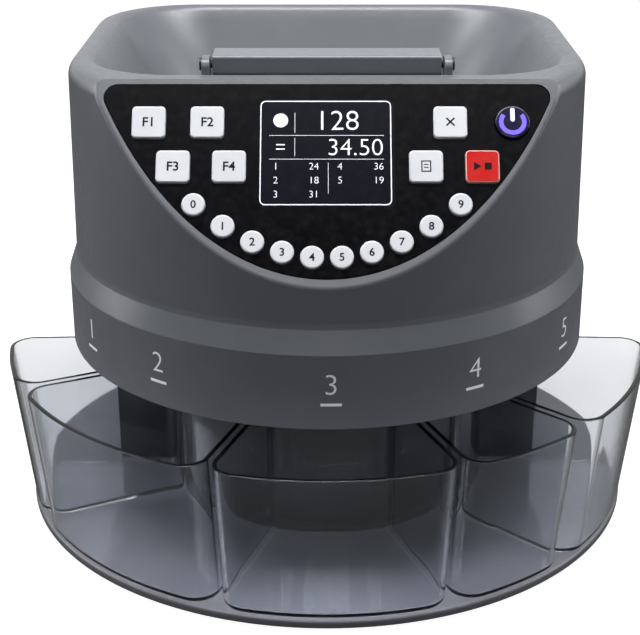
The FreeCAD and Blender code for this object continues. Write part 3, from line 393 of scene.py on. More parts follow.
# %% Solids take their finishes
FINISH = {
    "housing_grey": housing_plastic, "skirt_grey": skirt_plastic, "panel_black": panel_gloss,
    "window_clear": display_gloss, "display_dark": display_gloss, "key_white": key_plastic,
    "key_red": red_plastic, "key_power": power_plastic, "tray_clear": tray_clear,
    "base_dark": base_plastic, "core_black": core_plastic, "foot_rubber": rubber,
    "plain_steel": steel, "cast_aluminium": aluminium, "gear_nylon": nylon, "board_green": board_lacquer,
}
for row in frame["record"]["subparts"]:
    solid = nodes[row["node"]]
    if not solid.material_slots:
        solid.data.materials.append(None)
    for place in solid.material_slots:
        place.material = FINISH[row["material_slot"]]
nodes["gate_pin"].material_slots[0].material = dark_steel

# %% [markdown]
# ## Modelling helpers
# These do what a hand would do: make one piece active, select edges or faces by a test on their place
# or normal, apply a modifier, and give the finished piece its body and finish.

# %% Choosing and shaping
NEAR = 1e-5
STRAIGHT = 0.999


def only(piece):
    if bpy.context.mode != "OBJECT":
        leave()
    bpy.ops.object.select_all(action="DESELECT")
    piece.select_set(True)
    bpy.context.view_layer.objects.active = piece


def choose(piece, kind, test=lambda item: True):
    """Selects in edit mode the faces or edges that pass a test, and says how many."""
    only(piece)
    bpy.ops.object.mode_set(mode="EDIT")
    bpy.ops.mesh.select_mode(type=kind)
    bpy.ops.mesh.select_all(action="DESELECT")
    form = bmesh.from_edit_mesh(piece.data)
    form.normal_update()
    chosen = [item for item in (form.faces if kind == "FACE" else form.edges) if test(item)]
    for item in chosen:
        item.select_set(True)
    bmesh.update_edit_mesh(piece.data)
    return len(chosen)


def leave():
    bpy.ops.object.mode_set(mode="OBJECT")


def lies_at(edge, z):
    return all(abs(v.co.z - z * MM) < NEAR for v in edge.verts)


def runs_along(edge, axis):
    return abs((edge.verts[1].co - edge.verts[0].co).normalized()[axis]) > STRAIGHT


def round_off(width, **settings):
    """Rounds the chosen edges over a width in millimetres."""
    bpy.ops.mesh.bevel(offset=width * MM, affect="EDGES", profile=0.5, **settings)


def modify(piece, kind, **settings):
    only(piece)
    change = piece.modifiers.new(kind.lower(), kind)
    for key, value in settings.items():
        setattr(change, key, value)
    bpy.ops.object.modifier_apply(modifier=change.name)


def ease(piece, width, segments=2, degrees=60):
    """Takes the sharpness off every edge that turns by more than an angle."""
    modify(piece, "BEVEL", width=width * MM, segments=segments, limit_method="ANGLE",
           angle_limit=math.radians(degrees))


def outward(piece):
    """Turns all faces outwards, whichever way round they were drawn."""
    choose(piece, "FACE")
    bpy.ops.mesh.normals_make_consistent(inside=False)
    leave()


def smooth(piece, degrees=35):
    only(piece)
    bpy.ops.object.shade_smooth_by_angle(angle=math.radians(degrees))
    modify(piece, "WEIGHTED_NORMAL", keep_sharp=True)


print("shaping helpers ready")

# %% Making pieces
MACHINE = Matrix.Translation((0, AXIS_Y, 0))


def drawn(name, points, closed=True):
    """A new piece that is only a chain of edges through points."""
    count = len(points)
    chain = [(i, (i + 1) % count) for i in range(count if closed else count - 1)]
    mesh = bpy.data.meshes.new(name)
    mesh.from_pydata(points, chain, [])
    piece = bpy.data.objects.new(name, mesh)
    bpy.context.collection.objects.link(piece)
    return piece


def block(name, *spans):
    """A cube that fills a span along each axis, in millimetres, ready to be shaped."""
    bpy.ops.mesh.primitive_cube_add(size=1, location=[(low + high) / 2 * MM for low, high in spans],
                                    scale=[(high - low) * MM for low, high in spans])
    piece = bpy.context.object
    piece.name = name
    bpy.ops.object.transform_apply(location=True, rotation=True, scale=True)
    return piece


def joined(name, pieces):
    only(pieces[0])
    for piece in pieces[1:]:
        piece.select_set(True)
    if len(pieces) > 1:
        bpy.ops.object.join()
    pieces[0].name = name
    return pieces[0]


def fit_out(piece, body, slot, finish, *stands_for):
    """Gives a piece its finish and its body, and hides the solids that it stands for."""
    piece.data.materials.clear()
    piece.data.materials.append(finish)
    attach(piece, body)
    if stands_for:
        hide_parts(*stands_for)


def copy_of(piece, name, placing):
    """A copy with its own mesh, put in its place."""
    twin = bpy.data.objects.new(name, piece.data.copy())
    twin.data.transform(placing)
    bpy.context.collection.objects.link(twin)
    return twin


def discard(piece):
    bpy.data.objects.remove(piece, do_unlink=True)


print("piece helpers ready")

# %% [markdown]
# ## Outlines and skins
# The housings are not round and not square, so they start as outlines: closed loops of edges at a few
# heights. Extruding one loop to the next skins them, as a boat is planked over its frames. A round
# stretch of an outline is an arc whose angle starts at the front and grows to the right.

# %% Outline helpers
def at(x, y, z):
    """A point in metres from millimetres about the disc axis."""
    return (x * MM, y * MM + AXIS_Y, z * MM)


def arc(centre_x, centre_y, radius, start, end, steps, first=0):
    angles = [math.radians(start + (end - start) * i / steps) for i in range(first, steps + 1)]
    return [(centre_x + radius * math.sin(a), centre_y - radius * math.cos(a)) for a in angles]


def mirrored(right):
    """Closes the right half of an outline, whose first point lies on the middle line."""
    return right + [(-x, y) for x, y in reversed(right[1:])]


def level(points, z):
    return [at(x, y, z) for x, y in points]


def skin(name, loops, close_first=False, close_last=False):
    """Draws the first loop, extrudes it from loop to loop, and fills the first and last if asked."""
    count = len(loops[0])
    piece = drawn(name, loops[0])
    choose(piece, "EDGE")
    for k, loop in enumerate(loops[1:], 1):
        bpy.ops.mesh.extrude_edges_move()
        form = bmesh.from_edit_mesh(piece.data)
        form.verts.ensure_lookup_table()
        for i, point in enumerate(loop):
            form.verts[k * count + i].co = point
        bmesh.update_edit_mesh(piece.data)
    for wanted, k in ((close_first, 0), (close_last, len(loops) - 1)):
        if wanted:
            choose(piece, "EDGE", lambda edge: all(v.index // count == k for v in edge.verts))
            bpy.ops.mesh.edge_face_add()
    leave()
    outward(piece)
    return piece


print("outline helpers ready")

# %% [markdown]
# ## The leaning panel
# The keypad lies on a plane that leans back. Its own coordinates are u to the right, v up the slope and
# n out of it. The direction n is the way in which a key comes back up, so it is read from the frame.

# %% Panel coordinates
PANEL_R = 137.0
PANEL_FOOT_Z = 173.0

press = next(joint for joint in frame["joints"] if joint["name"] == "clear_key_press")
panel_out = -Vector(press["axis"])
panel_up = panel_out.cross(Vector((1, 0, 0)))
LEAN_SIN = panel_up.y
LEAN_COS = panel_up.z
panel_foot = Vector(at(0, -PANEL_R, PANEL_FOOT_Z))
PANEL = Matrix.Translation(panel_foot) @ Matrix((
    (1, 0, 0, 0),
    (0, LEAN_SIN, panel_out.y, 0),
    (0, LEAN_COS, panel_out.z, 0),
    (0, 0, 0, 1),
))


def on_panel(u, v, n):
    return PANEL @ Vector((u * MM, v * MM, n * MM))


print("panel leans", round(math.degrees(math.asin(LEAN_SIN)), 2), "degrees back")

# %% [markdown]
# ## Upper housing
# The head of the machine is one moulding: a collar that draws in from the skirt, a tall body that
# tapers slightly, and a rounded rim. Its front is cut off by the leaning plane. So we follow each column
# of the outline upwards: at the sides and the back it runs over the round of the rim to the seam, and at
# the front it stops at the leaning plane, where it turns over a soft edge. That edge is the light line
# round the panel.

# %% Outlines of the head
FRONT_ARC = 66.0
PLAN_CORNER = 55.0
SKIRT_R = 144.0
SKIRT_BACK = 139.0
SKIRT_TOP = 136.5
COLLAR_R = 139.8
COLLAR_BACK = 135.7
COLLAR_TOP = 148.4
BODY_R = 139.6
BODY_BACK = 135.5
BODY_Z = 151.0
RIM_FRONT_R = 139.2
RIM_HALF = 135.7
RIM_BACK = 132.0
RIM_Z = 247.0
RIM_TOP = 255.0
RIM_DRAW = 7.0
SEAM_Z = 253.2
ARC_STEPS = (60, 10, 16)


def plan(front_r, half, back, corner, z):
    """A round front that runs through two smaller arcs into straight sides and a rounded back."""
    s = math.sin(math.radians(FRONT_ARC))
    c = math.cos(math.radians(FRONT_ARC))
    bend = (half - front_r * s) / (1 - s)
    right = arc(0, 0, front_r, 0, FRONT_ARC, ARC_STEPS[0])
    right += arc(half - bend, -(front_r - bend) * c, bend, FRONT_ARC, 90, ARC_STEPS[1], 1)
    right += arc(half - corner, back - corner, corner, 90, 180, ARC_STEPS[2])
    return level(mirrored(right), z)


def head_outline(z):
    """The outline of the head at one height: it tapers, and above the shoulder it turns in."""
    t = (z - BODY_Z) / (RIM_TOP - BODY_Z)
    rise = max(0.0, (z - RIM_Z) / (RIM_TOP - RIM_Z))
    inset = RIM_DRAW * (1 - math.sqrt(1 - rise * rise))
    front_r = BODY_R + (RIM_FRONT_R - BODY_R) * t - inset
    half = BODY_R + (RIM_HALF - BODY_R) * t - inset
    back = BODY_BACK + (RIM_BACK - BODY_BACK) * t - inset
    return plan(front_r, half, back, PLAN_CORNER - inset, z)


def rim_height(share):
    """Heights that share the round of the rim evenly between the shoulder and the top."""
    return RIM_Z + (RIM_TOP - RIM_Z) * math.sin(math.radians(90 * share))


print("outlines of", len(head_outline(RIM_Z)), "points")

# %% Panel outline
PANEL_TOP_V = 99.2
PANEL_CORNER = 7.0
TURN_ERROR = 1e-6


def panel_outline(gap, n):
    """The oval that the leaning plane cuts from a cylinder, with a straight top and round corners."""
    radius = PANEL_R + gap
    top = PANEL_TOP_V + gap
    low = 0.0
    high = 90.0
    while high - low > TURN_ERROR:
        turn = (low + high) / 2
        s = math.sin(math.radians(turn))
        c = math.cos(math.radians(turn))
        side = Vector((s, -LEAN_SIN * c)).normalized()
        touch = Vector((radius * s, (PANEL_R - radius * c) / LEAN_SIN))
        centre = touch - side * PANEL_CORNER
        if centre.y + PANEL_CORNER < top:
            low = turn
        else:
            high = turn
    right = [(x, (PANEL_R + y) / LEAN_SIN) for x, y in arc(0, 0, radius, 0, low, ARC_STEPS[0])]
    lean = 90 + math.degrees(math.atan2(side.y, side.x))
    right += arc(centre.x, centre.y, PANEL_CORNER, lean, 180, ARC_STEPS[1], 1)
    return [on_panel(u, v, n) for u, v in mirrored(right)]


print("panel outline", len(panel_outline(0, 0)), "points")

# %% Columns of the head
LEVEL_STEP = 0.4
SEAT_GAP = 0.12
SEAT_DEPTH = 2.4
HEAD_WALL = 2.6
EDGE_DROP = 1.6
EDGE_LAND = 0.45
EDGE_GROWS_Z = 226.0
EDGE_STEPS = 6
EDGE_BLEND = 3
CRISP = 0.5
SEAM_SHARE = math.asin((SEAM_Z - RIM_Z) / (RIM_TOP - RIM_Z)) / (math.pi / 2)

level_count = round((SEAM_Z - BODY_Z) / LEVEL_STEP)
levels = [head_outline(BODY_Z + (SEAM_Z - BODY_Z) * k / level_count) for k in range(level_count + 1)]


def ahead(point):
    """How far a point stands in front of the leaning plane."""
    return (Vector(point) - panel_foot).dot(panel_out)


def on_column(i, z):
    """The point of a column of the outline at any height."""
    place = min(max((z - BODY_Z) / (SEAM_Z - BODY_Z), 0), 1) * level_count
    k = min(int(place), level_count - 1)
    return Vector(levels[k][i]).lerp(Vector(levels[k + 1][i]), place - k)


def cut_point(i):
    """Where a column meets the leaning plane, or nothing where it passes behind it."""
    for lower, upper in zip(levels, levels[1:]):
        gap = ahead(lower[i])
        if gap <= 0 < ahead(upper[i]):
            point = Vector(lower[i]).lerp(Vector(upper[i]), gap / (gap - ahead(upper[i])))
            return point - panel_out * ahead(point)
    return None


def land_point(cut):
    """A point on the plane, nearly as far in as the panel's edge, but not above the seam."""
    reach = math.hypot(cut.x, cut.y - AXIS_Y)
    inner = cut.lerp(Vector((0, AXIS_Y, cut.z)), EDGE_LAND * (1 - (PANEL_R + SEAT_GAP) * MM / reach))
    inner.z += (inner.y - cut.y) * panel_up.z / panel_up.y
    return cut.lerp(inner, min(1.0, (SEAM_Z * MM - cut.z) / max(inner.z - cut.z, NEAR)))


cuts = [cut_point(i) for i in range(len(levels[0]))]
print("columns", len(cuts), "of which the plane cuts", sum(cut is not None for cut in cuts))

# %% Skin of the head
# The last column that the plane cuts is moved to the corner where the plane meets the seam
last = max(i for i in range(len(cuts) // 2) if cuts[i])
inside, outside = (Vector(levels[-1][i]) for i in (last, last + 1))
meeting = inside.lerp(outside, ahead(inside) / (ahead(inside) - ahead(outside)))
cuts[last] = meeting
cuts[-last] = Vector((-meeting.x, meeting.y, meeting.z))


def edge_point(i, share):
    """A point of a column above its shoulder: over the rim, or over the soft edge of the plane.

    Towards the corner the soft edge grows, until it turns over as the rim does.
    """
    if cuts[i] is None:
        return on_column(i, rim_height(SEAM_SHARE * share))
    height = cuts[i].z / MM
    grown = max(0.0, (height - EDGE_GROWS_Z) / (SEAM_Z - EDGE_GROWS_Z))
    drop = EDGE_DROP + (SEAM_Z - RIM_Z - EDGE_DROP) * grown
    start = on_column(i, height - drop)
    soft = start.lerp(cuts[i], share).lerp(cuts[i].lerp(land_point(cuts[i]), share), share)
    climb = (rim_height(SEAM_SHARE * share) - RIM_Z) / (SEAM_Z - RIM_Z)
    over = on_column(i, height - drop * (1 - climb)) + (cuts[i] - on_column(i, height)) * share
    return soft.lerp(over, grown ** EDGE_BLEND)


def collar(z):
    """The outline of the collar, which draws in evenly from the skirt."""
    t = (z - SKIRT_TOP) / (COLLAR_TOP - SKIRT_TOP)
    radius = SKIRT_R + (COLLAR_R - SKIRT_R) * t
    return plan(radius, radius, SKIRT_BACK + (COLLAR_BACK - SKIRT_BACK) * t, PLAN_CORNER, z)


head_loops = [collar(z) for z in (SKIRT_TOP, SKIRT_TOP + CRISP, COLLAR_TOP - CRISP, COLLAR_TOP)]
head_loops += [levels[0], [on_column(i, BODY_Z + CRISP) for i in range(len(cuts))]]
for step in range(EDGE_STEPS + 1):
    head_loops.append([edge_point(i, step / EDGE_STEPS) for i in range(len(cuts))])
housing = skin("housing_shell", head_loops)
print("head", len(head_loops), "outlines of", len(cuts), "points")

# %% Seat of the panel
seat = skin("panel_seat", [panel_outline(SEAT_GAP, 0), panel_outline(SEAT_GAP, -SEAT_DEPTH)])
top_edge = drawn("top_edge", [cuts[last], cuts[-last]], closed=False)
joined("housing_shell", [housing, seat, top_edge])
choose(housing, "EDGE")
bpy.ops.mesh.remove_doubles(threshold=NEAR)


def on_plane(edge):
    return all(abs(ahead(v.co)) < NEAR for v in edge.verts)


rim_edges = choose(housing, "EDGE", lambda edge: len(edge.link_faces) < 2 and on_plane(edge))
bpy.ops.mesh.fill(use_beauty=True)
leave()
print("seat filled between", rim_edges, "edges")

# %% Thickness of the head
outward(housing)
modify(housing, "SOLIDIFY", thickness=HEAD_WALL * MM, offset=-1)
smooth(housing, degrees=28)
fit_out(housing, "chassis", "housing_grey", housing_plastic, "upper_housing")
print("housing", len(housing.data.polygons), "faces")

# %% [markdown]
# ## Hopper bowl
# The bowl drops into the head. Its rim takes up the round of the housing, so closely that no seam shows,
# turns over a soft lip, and falls as a funnel to the feed disc. The front of the rim stops at the leaning
# plane: we cut it there, close the narrow face that this leaves above the panel, and round its edge.

# %% Bowl
BOWL_WALL = 2.0
# Height, half width, front, back and corner of the mouth, and of the funnel below it
MOUTH = (255.0, 124.0, -64.5, 122.5, 48.0)
FUNNEL = [
    (247.0, 117.5, -63.5, 117.5, 46.0),
    (205.0, 90.0, -68.0, 97.0, 48.0),
    (133.0, 76.0, -76.0, 76.0, 66.0),
]
RIM_STEPS = 5
LIP_ROUND = 3.6
FRONT_ROUND = 1.3
FRONT_HALF = 100.0
SEAM_GAP = 0.01


def mouth(z, half, front, back, corner):
    """A rounded rectangle with as many points as the outlines of the head."""
    straight = ARC_STEPS[1]
    right = [((half - corner) * i / straight, front) for i in range(straight)]
    right += arc(half - corner, front + corner, corner, 0, 90, ARC_STEPS[0])
    right += arc(half - corner, back - corner, corner, 90, 180, ARC_STEPS[2])
    return level(mirrored(right), z)


def bowl_rim(step):
    """The outline of the rim at a step between the seam and the top."""
    share = SEAM_GAP + (1 - SEAM_GAP) * step / RIM_STEPS
    return head_outline(rim_height(SEAM_SHARE + (1 - SEAM_SHARE) * share))


bowl_loops = [bowl_rim(step) for step in range(RIM_STEPS + 1)]
bowl_loops += [mouth(*section) for section in [MOUTH] + FUNNEL]
bowl = skin("hopper_bowl_shell", bowl_loops)
choose(bowl, "FACE")
bpy.ops.mesh.bisect(plane_co=panel_foot, plane_no=panel_out, clear_outer=True, threshold=NEAR / 10)


def at_mouth(edge):
    """An edge at the top of the rim, round the mouth, from which a face falls into the funnel."""
    half = (MOUTH[1] + 1) * MM
    front = AXIS_Y + (MOUTH[2] - 1) * MM
    falls = any(face.calc_center_median().z < (RIM_TOP - 1) * MM for face in edge.link_faces)
    around = all(v.co.y > front and abs(v.co.x) < half for v in edge.verts)
    return lies_at(edge, RIM_TOP) and falls and around


def at_front_lip(edge):
    top = all(v.co.z > RIM_TOP * MM - NEAR and abs(v.co.x) < FRONT_HALF * MM for v in edge.verts)
    return top and on_plane(edge)


choose(bowl, "EDGE", on_plane)
bpy.ops.mesh.edge_face_add()
lip_edges = choose(bowl, "EDGE", at_mouth)
round_off(LIP_ROUND, segments=5)
choose(bowl, "EDGE", at_front_lip)
round_off(FRONT_ROUND, segments=4, clamp_overlap=True)
leave()
outward(bowl)
modify(bowl, "SOLIDIFY", thickness=BOWL_WALL * MM, offset=-1)
smooth(bowl, degrees=30)
print("bowl lip", lip_edges, "edges,", len(bowl.data.polygons), "faces")

# %% [markdown]
# Two small cheeks stand on the rim and hold the ends of the gate's pin. Each is a rounded block: a cube
# drawn out to the cheek's size, with its top edges bevelled until they are nearly half round.

# %% Cheeks of the gate
CHEEK_X = (58.5, 62.5)
CHEEK_Y = (-64.6, -49.5)
CHEEK_Z = (247.0, 262.0)
CHEEK_ROUND = 4.2
CHEEK_EASE = 0.5

cheeks = []
for sign in (-1, 1):
    cheek = block("cheek", sorted(sign * x for x in CHEEK_X), CHEEK_Y, CHEEK_Z)
    choose(cheek, "EDGE", lambda edge: runs_along(edge, 0) and lies_at(edge, CHEEK_Z[1]))
    round_off(CHEEK_ROUND, segments=5)
    leave()
    ease(cheek, CHEEK_EASE)
    smooth(cheek)
    cheek.data.transform(MACHINE)
    cheeks.append(cheek)
joined("hopper_bowl_shell", [bowl] + cheeks)
fit_out(bowl, "chassis", "housing_grey", housing_plastic, "hopper_bowl")
print("bowl with cheeks", len(bowl.data.polygons), "faces")

# %% [markdown]
# ## Feed gate
# A bar lies across the front of the hopper and swings up on its pin. A thin plate under it keeps the
# heap back. The bar is a cube with its long edges rounded, the plate another, and the two are one piece.

# %% Gate
GATE_BAR = ((-57.5, 57.5), (-58.5, -38.0), (252.5, 262.5))
GATE_PLATE = ((-53.5, 53.5), (-42.5, -39.5), (214.0, 254.0))
GATE_ROUND = 1.4
GATE_EASE = 0.4

gate = block("feed_gate_bar", *GATE_BAR)
choose(gate, "EDGE", lambda edge: runs_along(edge, 0))
round_off(GATE_ROUND, segments=4)
leave()
plate = block("gate_plate", *GATE_PLATE)
for piece in (gate, plate):
    ease(piece, GATE_EASE)
    smooth(piece)
    piece.data.transform(MACHINE)
joined("feed_gate_bar", [gate, plate])
fit_out(gate, "gate", "housing_grey", gate_plastic, "feed_gate")
print("gate", len(gate.data.polygons), "faces")

# %% [markdown]
# ## Skirt
# The darker ring below the collar is a plain band. Skinned between two outlines and given its wall with
# Solidify, it only needs its edges eased, because a sharp edge never catches the light.

# %% Skirt
SKIRT_Z = 97.5
SKIRT_WALL = 2.6
SKIRT_EASE = 0.7

skirt_loops = [plan(SKIRT_R, SKIRT_R, SKIRT_BACK, PLAN_CORNER, z) for z in (SKIRT_Z, SKIRT_TOP)]
skirt = skin("skirt_band", skirt_loops)
modify(skirt, "SOLIDIFY", thickness=SKIRT_WALL * MM, offset=-1)
ease(skirt, SKIRT_EASE, segments=3, degrees=50)
smooth(skirt)
fit_out(skirt, "chassis", "skirt_grey", skirt_plastic, "skirt_ring")
print("skirt", len(skirt.data.polygons), "faces")

# %% [markdown]
# ## Base
# The round plate under everything is cut straight at the back. Its outline is one long arc, two corner
# arcs and the straight back; the edge is bevelled all round, wider on top.

# %% Base plate
BASE_R = 172.0
BASE_BACK = 136.0
BASE_CORNER = 42.0
BASE_Z = (2.5, 7.0)
BASE_ROUND = (0.6, 1.6)
BASE_STEPS = (72, 14)

corner_y = BASE_BACK - BASE_CORNER
corner_x = math.sqrt((BASE_R - BASE_CORNER) ** 2 - corner_y ** 2)
meet = math.degrees(math.atan2(corner_x, -corner_y))
half_base = arc(0, 0, BASE_R, 0, meet, BASE_STEPS[0])
half_base += arc(corner_x, corner_y, BASE_CORNER, meet, 180, BASE_STEPS[1], 1)
base = skin("base_dish", [level(mirrored(half_base), z) for z in BASE_Z], True, True)
for z, width in zip(BASE_Z, BASE_ROUND):
    choose(base, "EDGE", lambda edge: lies_at(edge, z))
    round_off(width, segments=3)
leave()
smooth(base)
fit_out(base, "chassis", "base_dark", base_plastic, "base_plate")
print("base", len(base.data.polygons), "faces")

# %% [markdown]
# ## Trays
# Five clear trays stand side by side, each a slice of a ring with a flared outer wall and round corners.
# A tray is skinned between its foot and its rim, its floor edge is rounded, and Solidify gives the wall,
# which must be a real wall: clear plastic shows both of its faces.

# %% Tray outline
TRAY_EDGES = [-87.5, -64.4, -19.4, 22.1, 46.8, 87.5]
TRAY_NAMES = ["left", "front_left", "front", "front_right", "right"]
TRAY_Z = (7.2, 89.0)
TRAY_R_IN = 89.5
TRAY_R_OUT = (171.5, 180.5)
TRAY_CORNER = 13.0
TRAY_CORNER_IN = 6.0
TRAY_GAP = 1.3
TRAY_WALL = 2.4
TRAY_STEPS = (24, 8, 12)


def tray_outline(left, right, r_out, z):
    """A slice of a ring with four round corners, walked from its outer wall round by the right."""
    far = (r_out - TRAY_CORNER, TRAY_CORNER)
    near = (TRAY_R_IN + TRAY_CORNER_IN, TRAY_CORNER_IN)

    def lean(edge, sign, ring, radius):
        return edge + sign * math.degrees(math.asin((TRAY_GAP + radius) / ring))

    def corner(turn, ring, radius, start, end):
        a = math.radians(turn)
        return arc(ring * math.sin(a), -ring * math.cos(a), radius, start, end, TRAY_STEPS[1])

    far_left = lean(left, 1, *far)
    far_right = lean(right, -1, *far)
    near_left = lean(left, 1, *near)
    near_right = lean(right, -1, *near)
    points = arc(0, 0, r_out, far_left, far_right, TRAY_STEPS[0])[1:-1]
    points += corner(far_right, *far, far_right, right + 90)
    points += corner(near_right, *near, right + 90, near_right + 180)
    points += arc(0, 0, TRAY_R_IN, near_right, near_left, TRAY_STEPS[2])[1:-1]
    points += corner(near_left, *near, near_left + 180, left + 270)
    points += corner(far_left, *far, left + 270, far_left + 360)
    return level(points, z)


print("tray outline ready")

# %% Trays
FLOOR_ROUND = 3.0
RIM_EASE = 0.6

for name, left, right in zip(TRAY_NAMES, TRAY_EDGES, TRAY_EDGES[1:]):
    tray_loops = [tray_outline(left, right, r, z) for r, z in zip(TRAY_R_OUT, TRAY_Z)]
    tray = skin("tray_" + name + "_shell", tray_loops, close_first=True)
    choose(tray, "EDGE", lambda edge: lies_at(edge, TRAY_Z[0]))
    round_off(FLOOR_ROUND, segments=4)
    leave()
    modify(tray, "SOLIDIFY", thickness=TRAY_WALL * MM, offset=-1, use_even_offset=True)
    ease(tray, RIM_EASE)
    smooth(tray)
    fit_out(tray, "tray_" + name, "tray_clear", tray_clear, "coin_tray_" + name)
    print(tray.name, len(tray.data.polygons), "faces")

# %% [markdown]
# ## Keys
# A key is modelled once, standing on the panel's own origin, and copied to its places. The square key is
# a cube with its upright edges rounded wide, its top edge rounded finely, and a shallow dish pressed into
# the top, whose border is the thin light line seen round each key. On the red key the rounded edge and the
# sides are painted a pale rose, a painted highlight round its red top. The round keys are the same from a
# cylinder.

# %% Square and round key
KEY_SIDE = (-8.2, 8.2)
KEY_CORNER = 2.2
KEY_FOOT = -6.0
KEY_RISE = 1.8
KEY_EASE = 0.9
DISH_BORDER = 0.55
DISH_DEPTH = 0.1
DIGIT_R = 5.7
POWER_R = 8.4
ROUND_SIDES = 64


def finish_top(key):
    """Rounds the top edge and presses a shallow dish into the top face."""
    choose(key, "EDGE", lambda edge: lies_at(edge, KEY_RISE))
    round_off(KEY_EASE, segments=4)
    choose(key, "FACE", lambda face: face.normal.z > STRAIGHT)
    bpy.ops.mesh.inset(thickness=DISH_BORDER * MM, depth=-DISH_DEPTH * MM)
    leave()
    smooth(key, degrees=40)


def square_key():
    key = block("square_key", KEY_SIDE, KEY_SIDE, (KEY_FOOT, KEY_RISE))
    choose(key, "EDGE", lambda edge: runs_along(edge, 2))
    round_off(KEY_CORNER, segments=6)
    leave()
    finish_top(key)
    return key


def round_key(radius):
    depth = (KEY_RISE - KEY_FOOT) * MM
    middle = (0, 0, (KEY_RISE + KEY_FOOT) / 2 * MM)
    bpy.ops.mesh.primitive_cylinder_add(vertices=ROUND_SIDES, radius=radius * MM, depth=depth,
                                        location=middle)
    key = bpy.context.object
    bpy.ops.object.transform_apply(location=True, rotation=True, scale=True)
    finish_top(key)
    return key


def panel_place(u, v):
    return PANEL @ Matrix.Translation((u * MM, v * MM, 0))


print("key patterns ready")

# %% Keys in their places
UPPER_V = 78.9
LOWER_V = 56.1
SQUARE_KEYS = {
    "function_key_1": (-86.5, UPPER_V), "function_key_2": (-58.1, UPPER_V),
    "function_key_3": (-74.2, LOWER_V), "function_key_4": (-47.2, LOWER_V),
    "clear_key": (59.8, UPPER_V), "print_key": (47.7, LOWER_V), "start_stop_key": (74.8, LOWER_V),
}
POWER_UV = (90.0, UPPER_V)
FACES_OUT = 0.98
DIGITS = 10
DIGIT_PITCH = 14.2
DIGIT_RISE = 10.3


def digit_uv(number):
    """The number keys follow the lower edge of the panel."""
    u = (number - (DIGITS - 1) / 2) * DIGIT_PITCH
    return u, (PANEL_R - math.sqrt(PANEL_R ** 2 - u * u)) / LEAN_SIN + DIGIT_RISE


pattern = square_key()
for name, (u, v) in SQUARE_KEYS.items():
    cap = copy_of(pattern, name + "_cap", panel_place(u, v))
    # The start and stop key is red only on the faces that look out of the panel; its rounded edge and sides take
    # the pale rose, which is a painted highlight
    if name == "start_stop_key":
        fit_out(cap, name, "key_red", red_key_highlight, name)
        cap.data.materials.append(red_plastic)
        for face in cap.data.polygons:
            face.material_index = int(face.normal.dot(panel_out) > FACES_OUT)
    else:
        fit_out(cap, name, "key_white", key_plastic, name)
discard(pattern)
pattern = round_key(DIGIT_R)
for number in range(DIGITS):
    name = "number_key_%d" % number
    cap = copy_of(pattern, name + "_cap", panel_place(*digit_uv(number)))
    fit_out(cap, name, "key_white", key_plastic, name)
discard(pattern)
pattern = round_key(POWER_R)
cap = copy_of(pattern, "power_button_cap", panel_place(*POWER_UV))
fit_out(cap, "power_button", "key_power", power_plastic, "power_button")
discard(pattern)
print("keys", len(SQUARE_KEYS) + DIGITS + 1)

# %% [markdown]
# ## Marks on the keys
# Print is a film of ink, so each mark is a flat shape a few hundredths of a millimetre thick, lying in
# the dish of its key. Figures come from text that is made a mesh; symbols are outlines filled and drawn
# up. The marks are plain ones: numbers, a cross to clear, a sheet to print, and start and stop.

# %% Lettering and flat marks
INK = 0.04
FONT_DEPTH = 0.05


def lettering(name, words, height, u=0.0, v=0.0, align="CENTER", weight=0.0):
    """Figures as tall as asked, in millimetres, with their middle (or end) at u, v, as a flat mesh."""
    bpy.ops.object.text_add()
    piece = bpy.context.object
    piece.name = name
    piece.data.body = words
    piece.data.align_x = align
    piece.data.offset = weight
    piece.data.extrude = FONT_DEPTH
    bpy.ops.object.convert(target="MESH")
    heights = [p.co.y for p in piece.data.vertices]
    size = height * MM / (max(heights) - min(heights))
    piece.data.transform(Matrix.Translation((0, -(max(heights) + min(heights)) / 2, FONT_DEPTH)))
    piece.data.transform(Matrix.Diagonal((size, size, INK * MM / FONT_DEPTH / 2, 1)))
    piece.data.transform(Matrix.Translation((u * MM, v * MM, 0)))
    return piece


def flat_mark(name, outline):
    """A closed outline in millimetres, filled and drawn up to the thickness of ink."""
    piece = drawn(name, [(u * MM, v * MM, 0) for u, v in outline])
    choose(piece, "EDGE")
    bpy.ops.mesh.edge_face_add()
    bpy.ops.mesh.extrude_region_move(TRANSFORM_OT_translate={"value": (0, 0, INK * MM)})
    leave()
    outward(piece)
    return piece


def bar(name, u0, u1, v0, v1):
    return flat_mark(name, [(u0, v0), (u1, v0), (u1, v1), (u0, v1)])


def lay(piece, placing, lift):
    """Puts a flat mark on the panel, lifted off it by so many millimetres."""
    piece.data.transform(placing @ Matrix.Translation((0, 0, lift * MM)))


print("mark helpers ready")

# %% Marks of the keys
MARK_LIFT = KEY_RISE - DISH_DEPTH
DIGIT_HEIGHT = 4.0
FUNCTION_HEIGHT = 4.8
MARK_WEIGHT = 0.018
CROSS_HALF = 2.8
CROSS_LINE = 0.85
SHEET = (
    (-2.4, 2.4, 2.3, 2.9), (-2.4, -1.8, -2.9, 2.3), (1.8, 2.4, -2.9, 2.3),
    (-1.8, 1.8, -2.9, -2.3), (-1.1, 1.1, 0.6, 1.1), (-1.1, 1.1, -0.9, -0.4),
)
START = [(-4.2, -2.2), (-0.6, 0), (-4.2, 2.2)]
STOP = (1.0, 4.4, -1.8, 1.8)

for number in range(DIGITS):
    name = "number_key_%d" % number
    mark = lettering(name + "_mark", str(number), DIGIT_HEIGHT, weight=MARK_WEIGHT)
    lay(mark, panel_place(*digit_uv(number)), MARK_LIFT)
    fit_out(mark, name, "panel_black", ink_dark)


def slanted(degrees):
    """A bar of the cross, turned about the middle of its key."""
    c = math.cos(math.radians(degrees))
    s = math.sin(math.radians(degrees))
    flat = [(x * CROSS_HALF, y * CROSS_LINE / 2) for x, y in ((-1, -1), (1, -1), (1, 1), (-1, 1))]
    return flat_mark("mark", [(u * c - v * s, u * s + v * c) for u, v in flat])


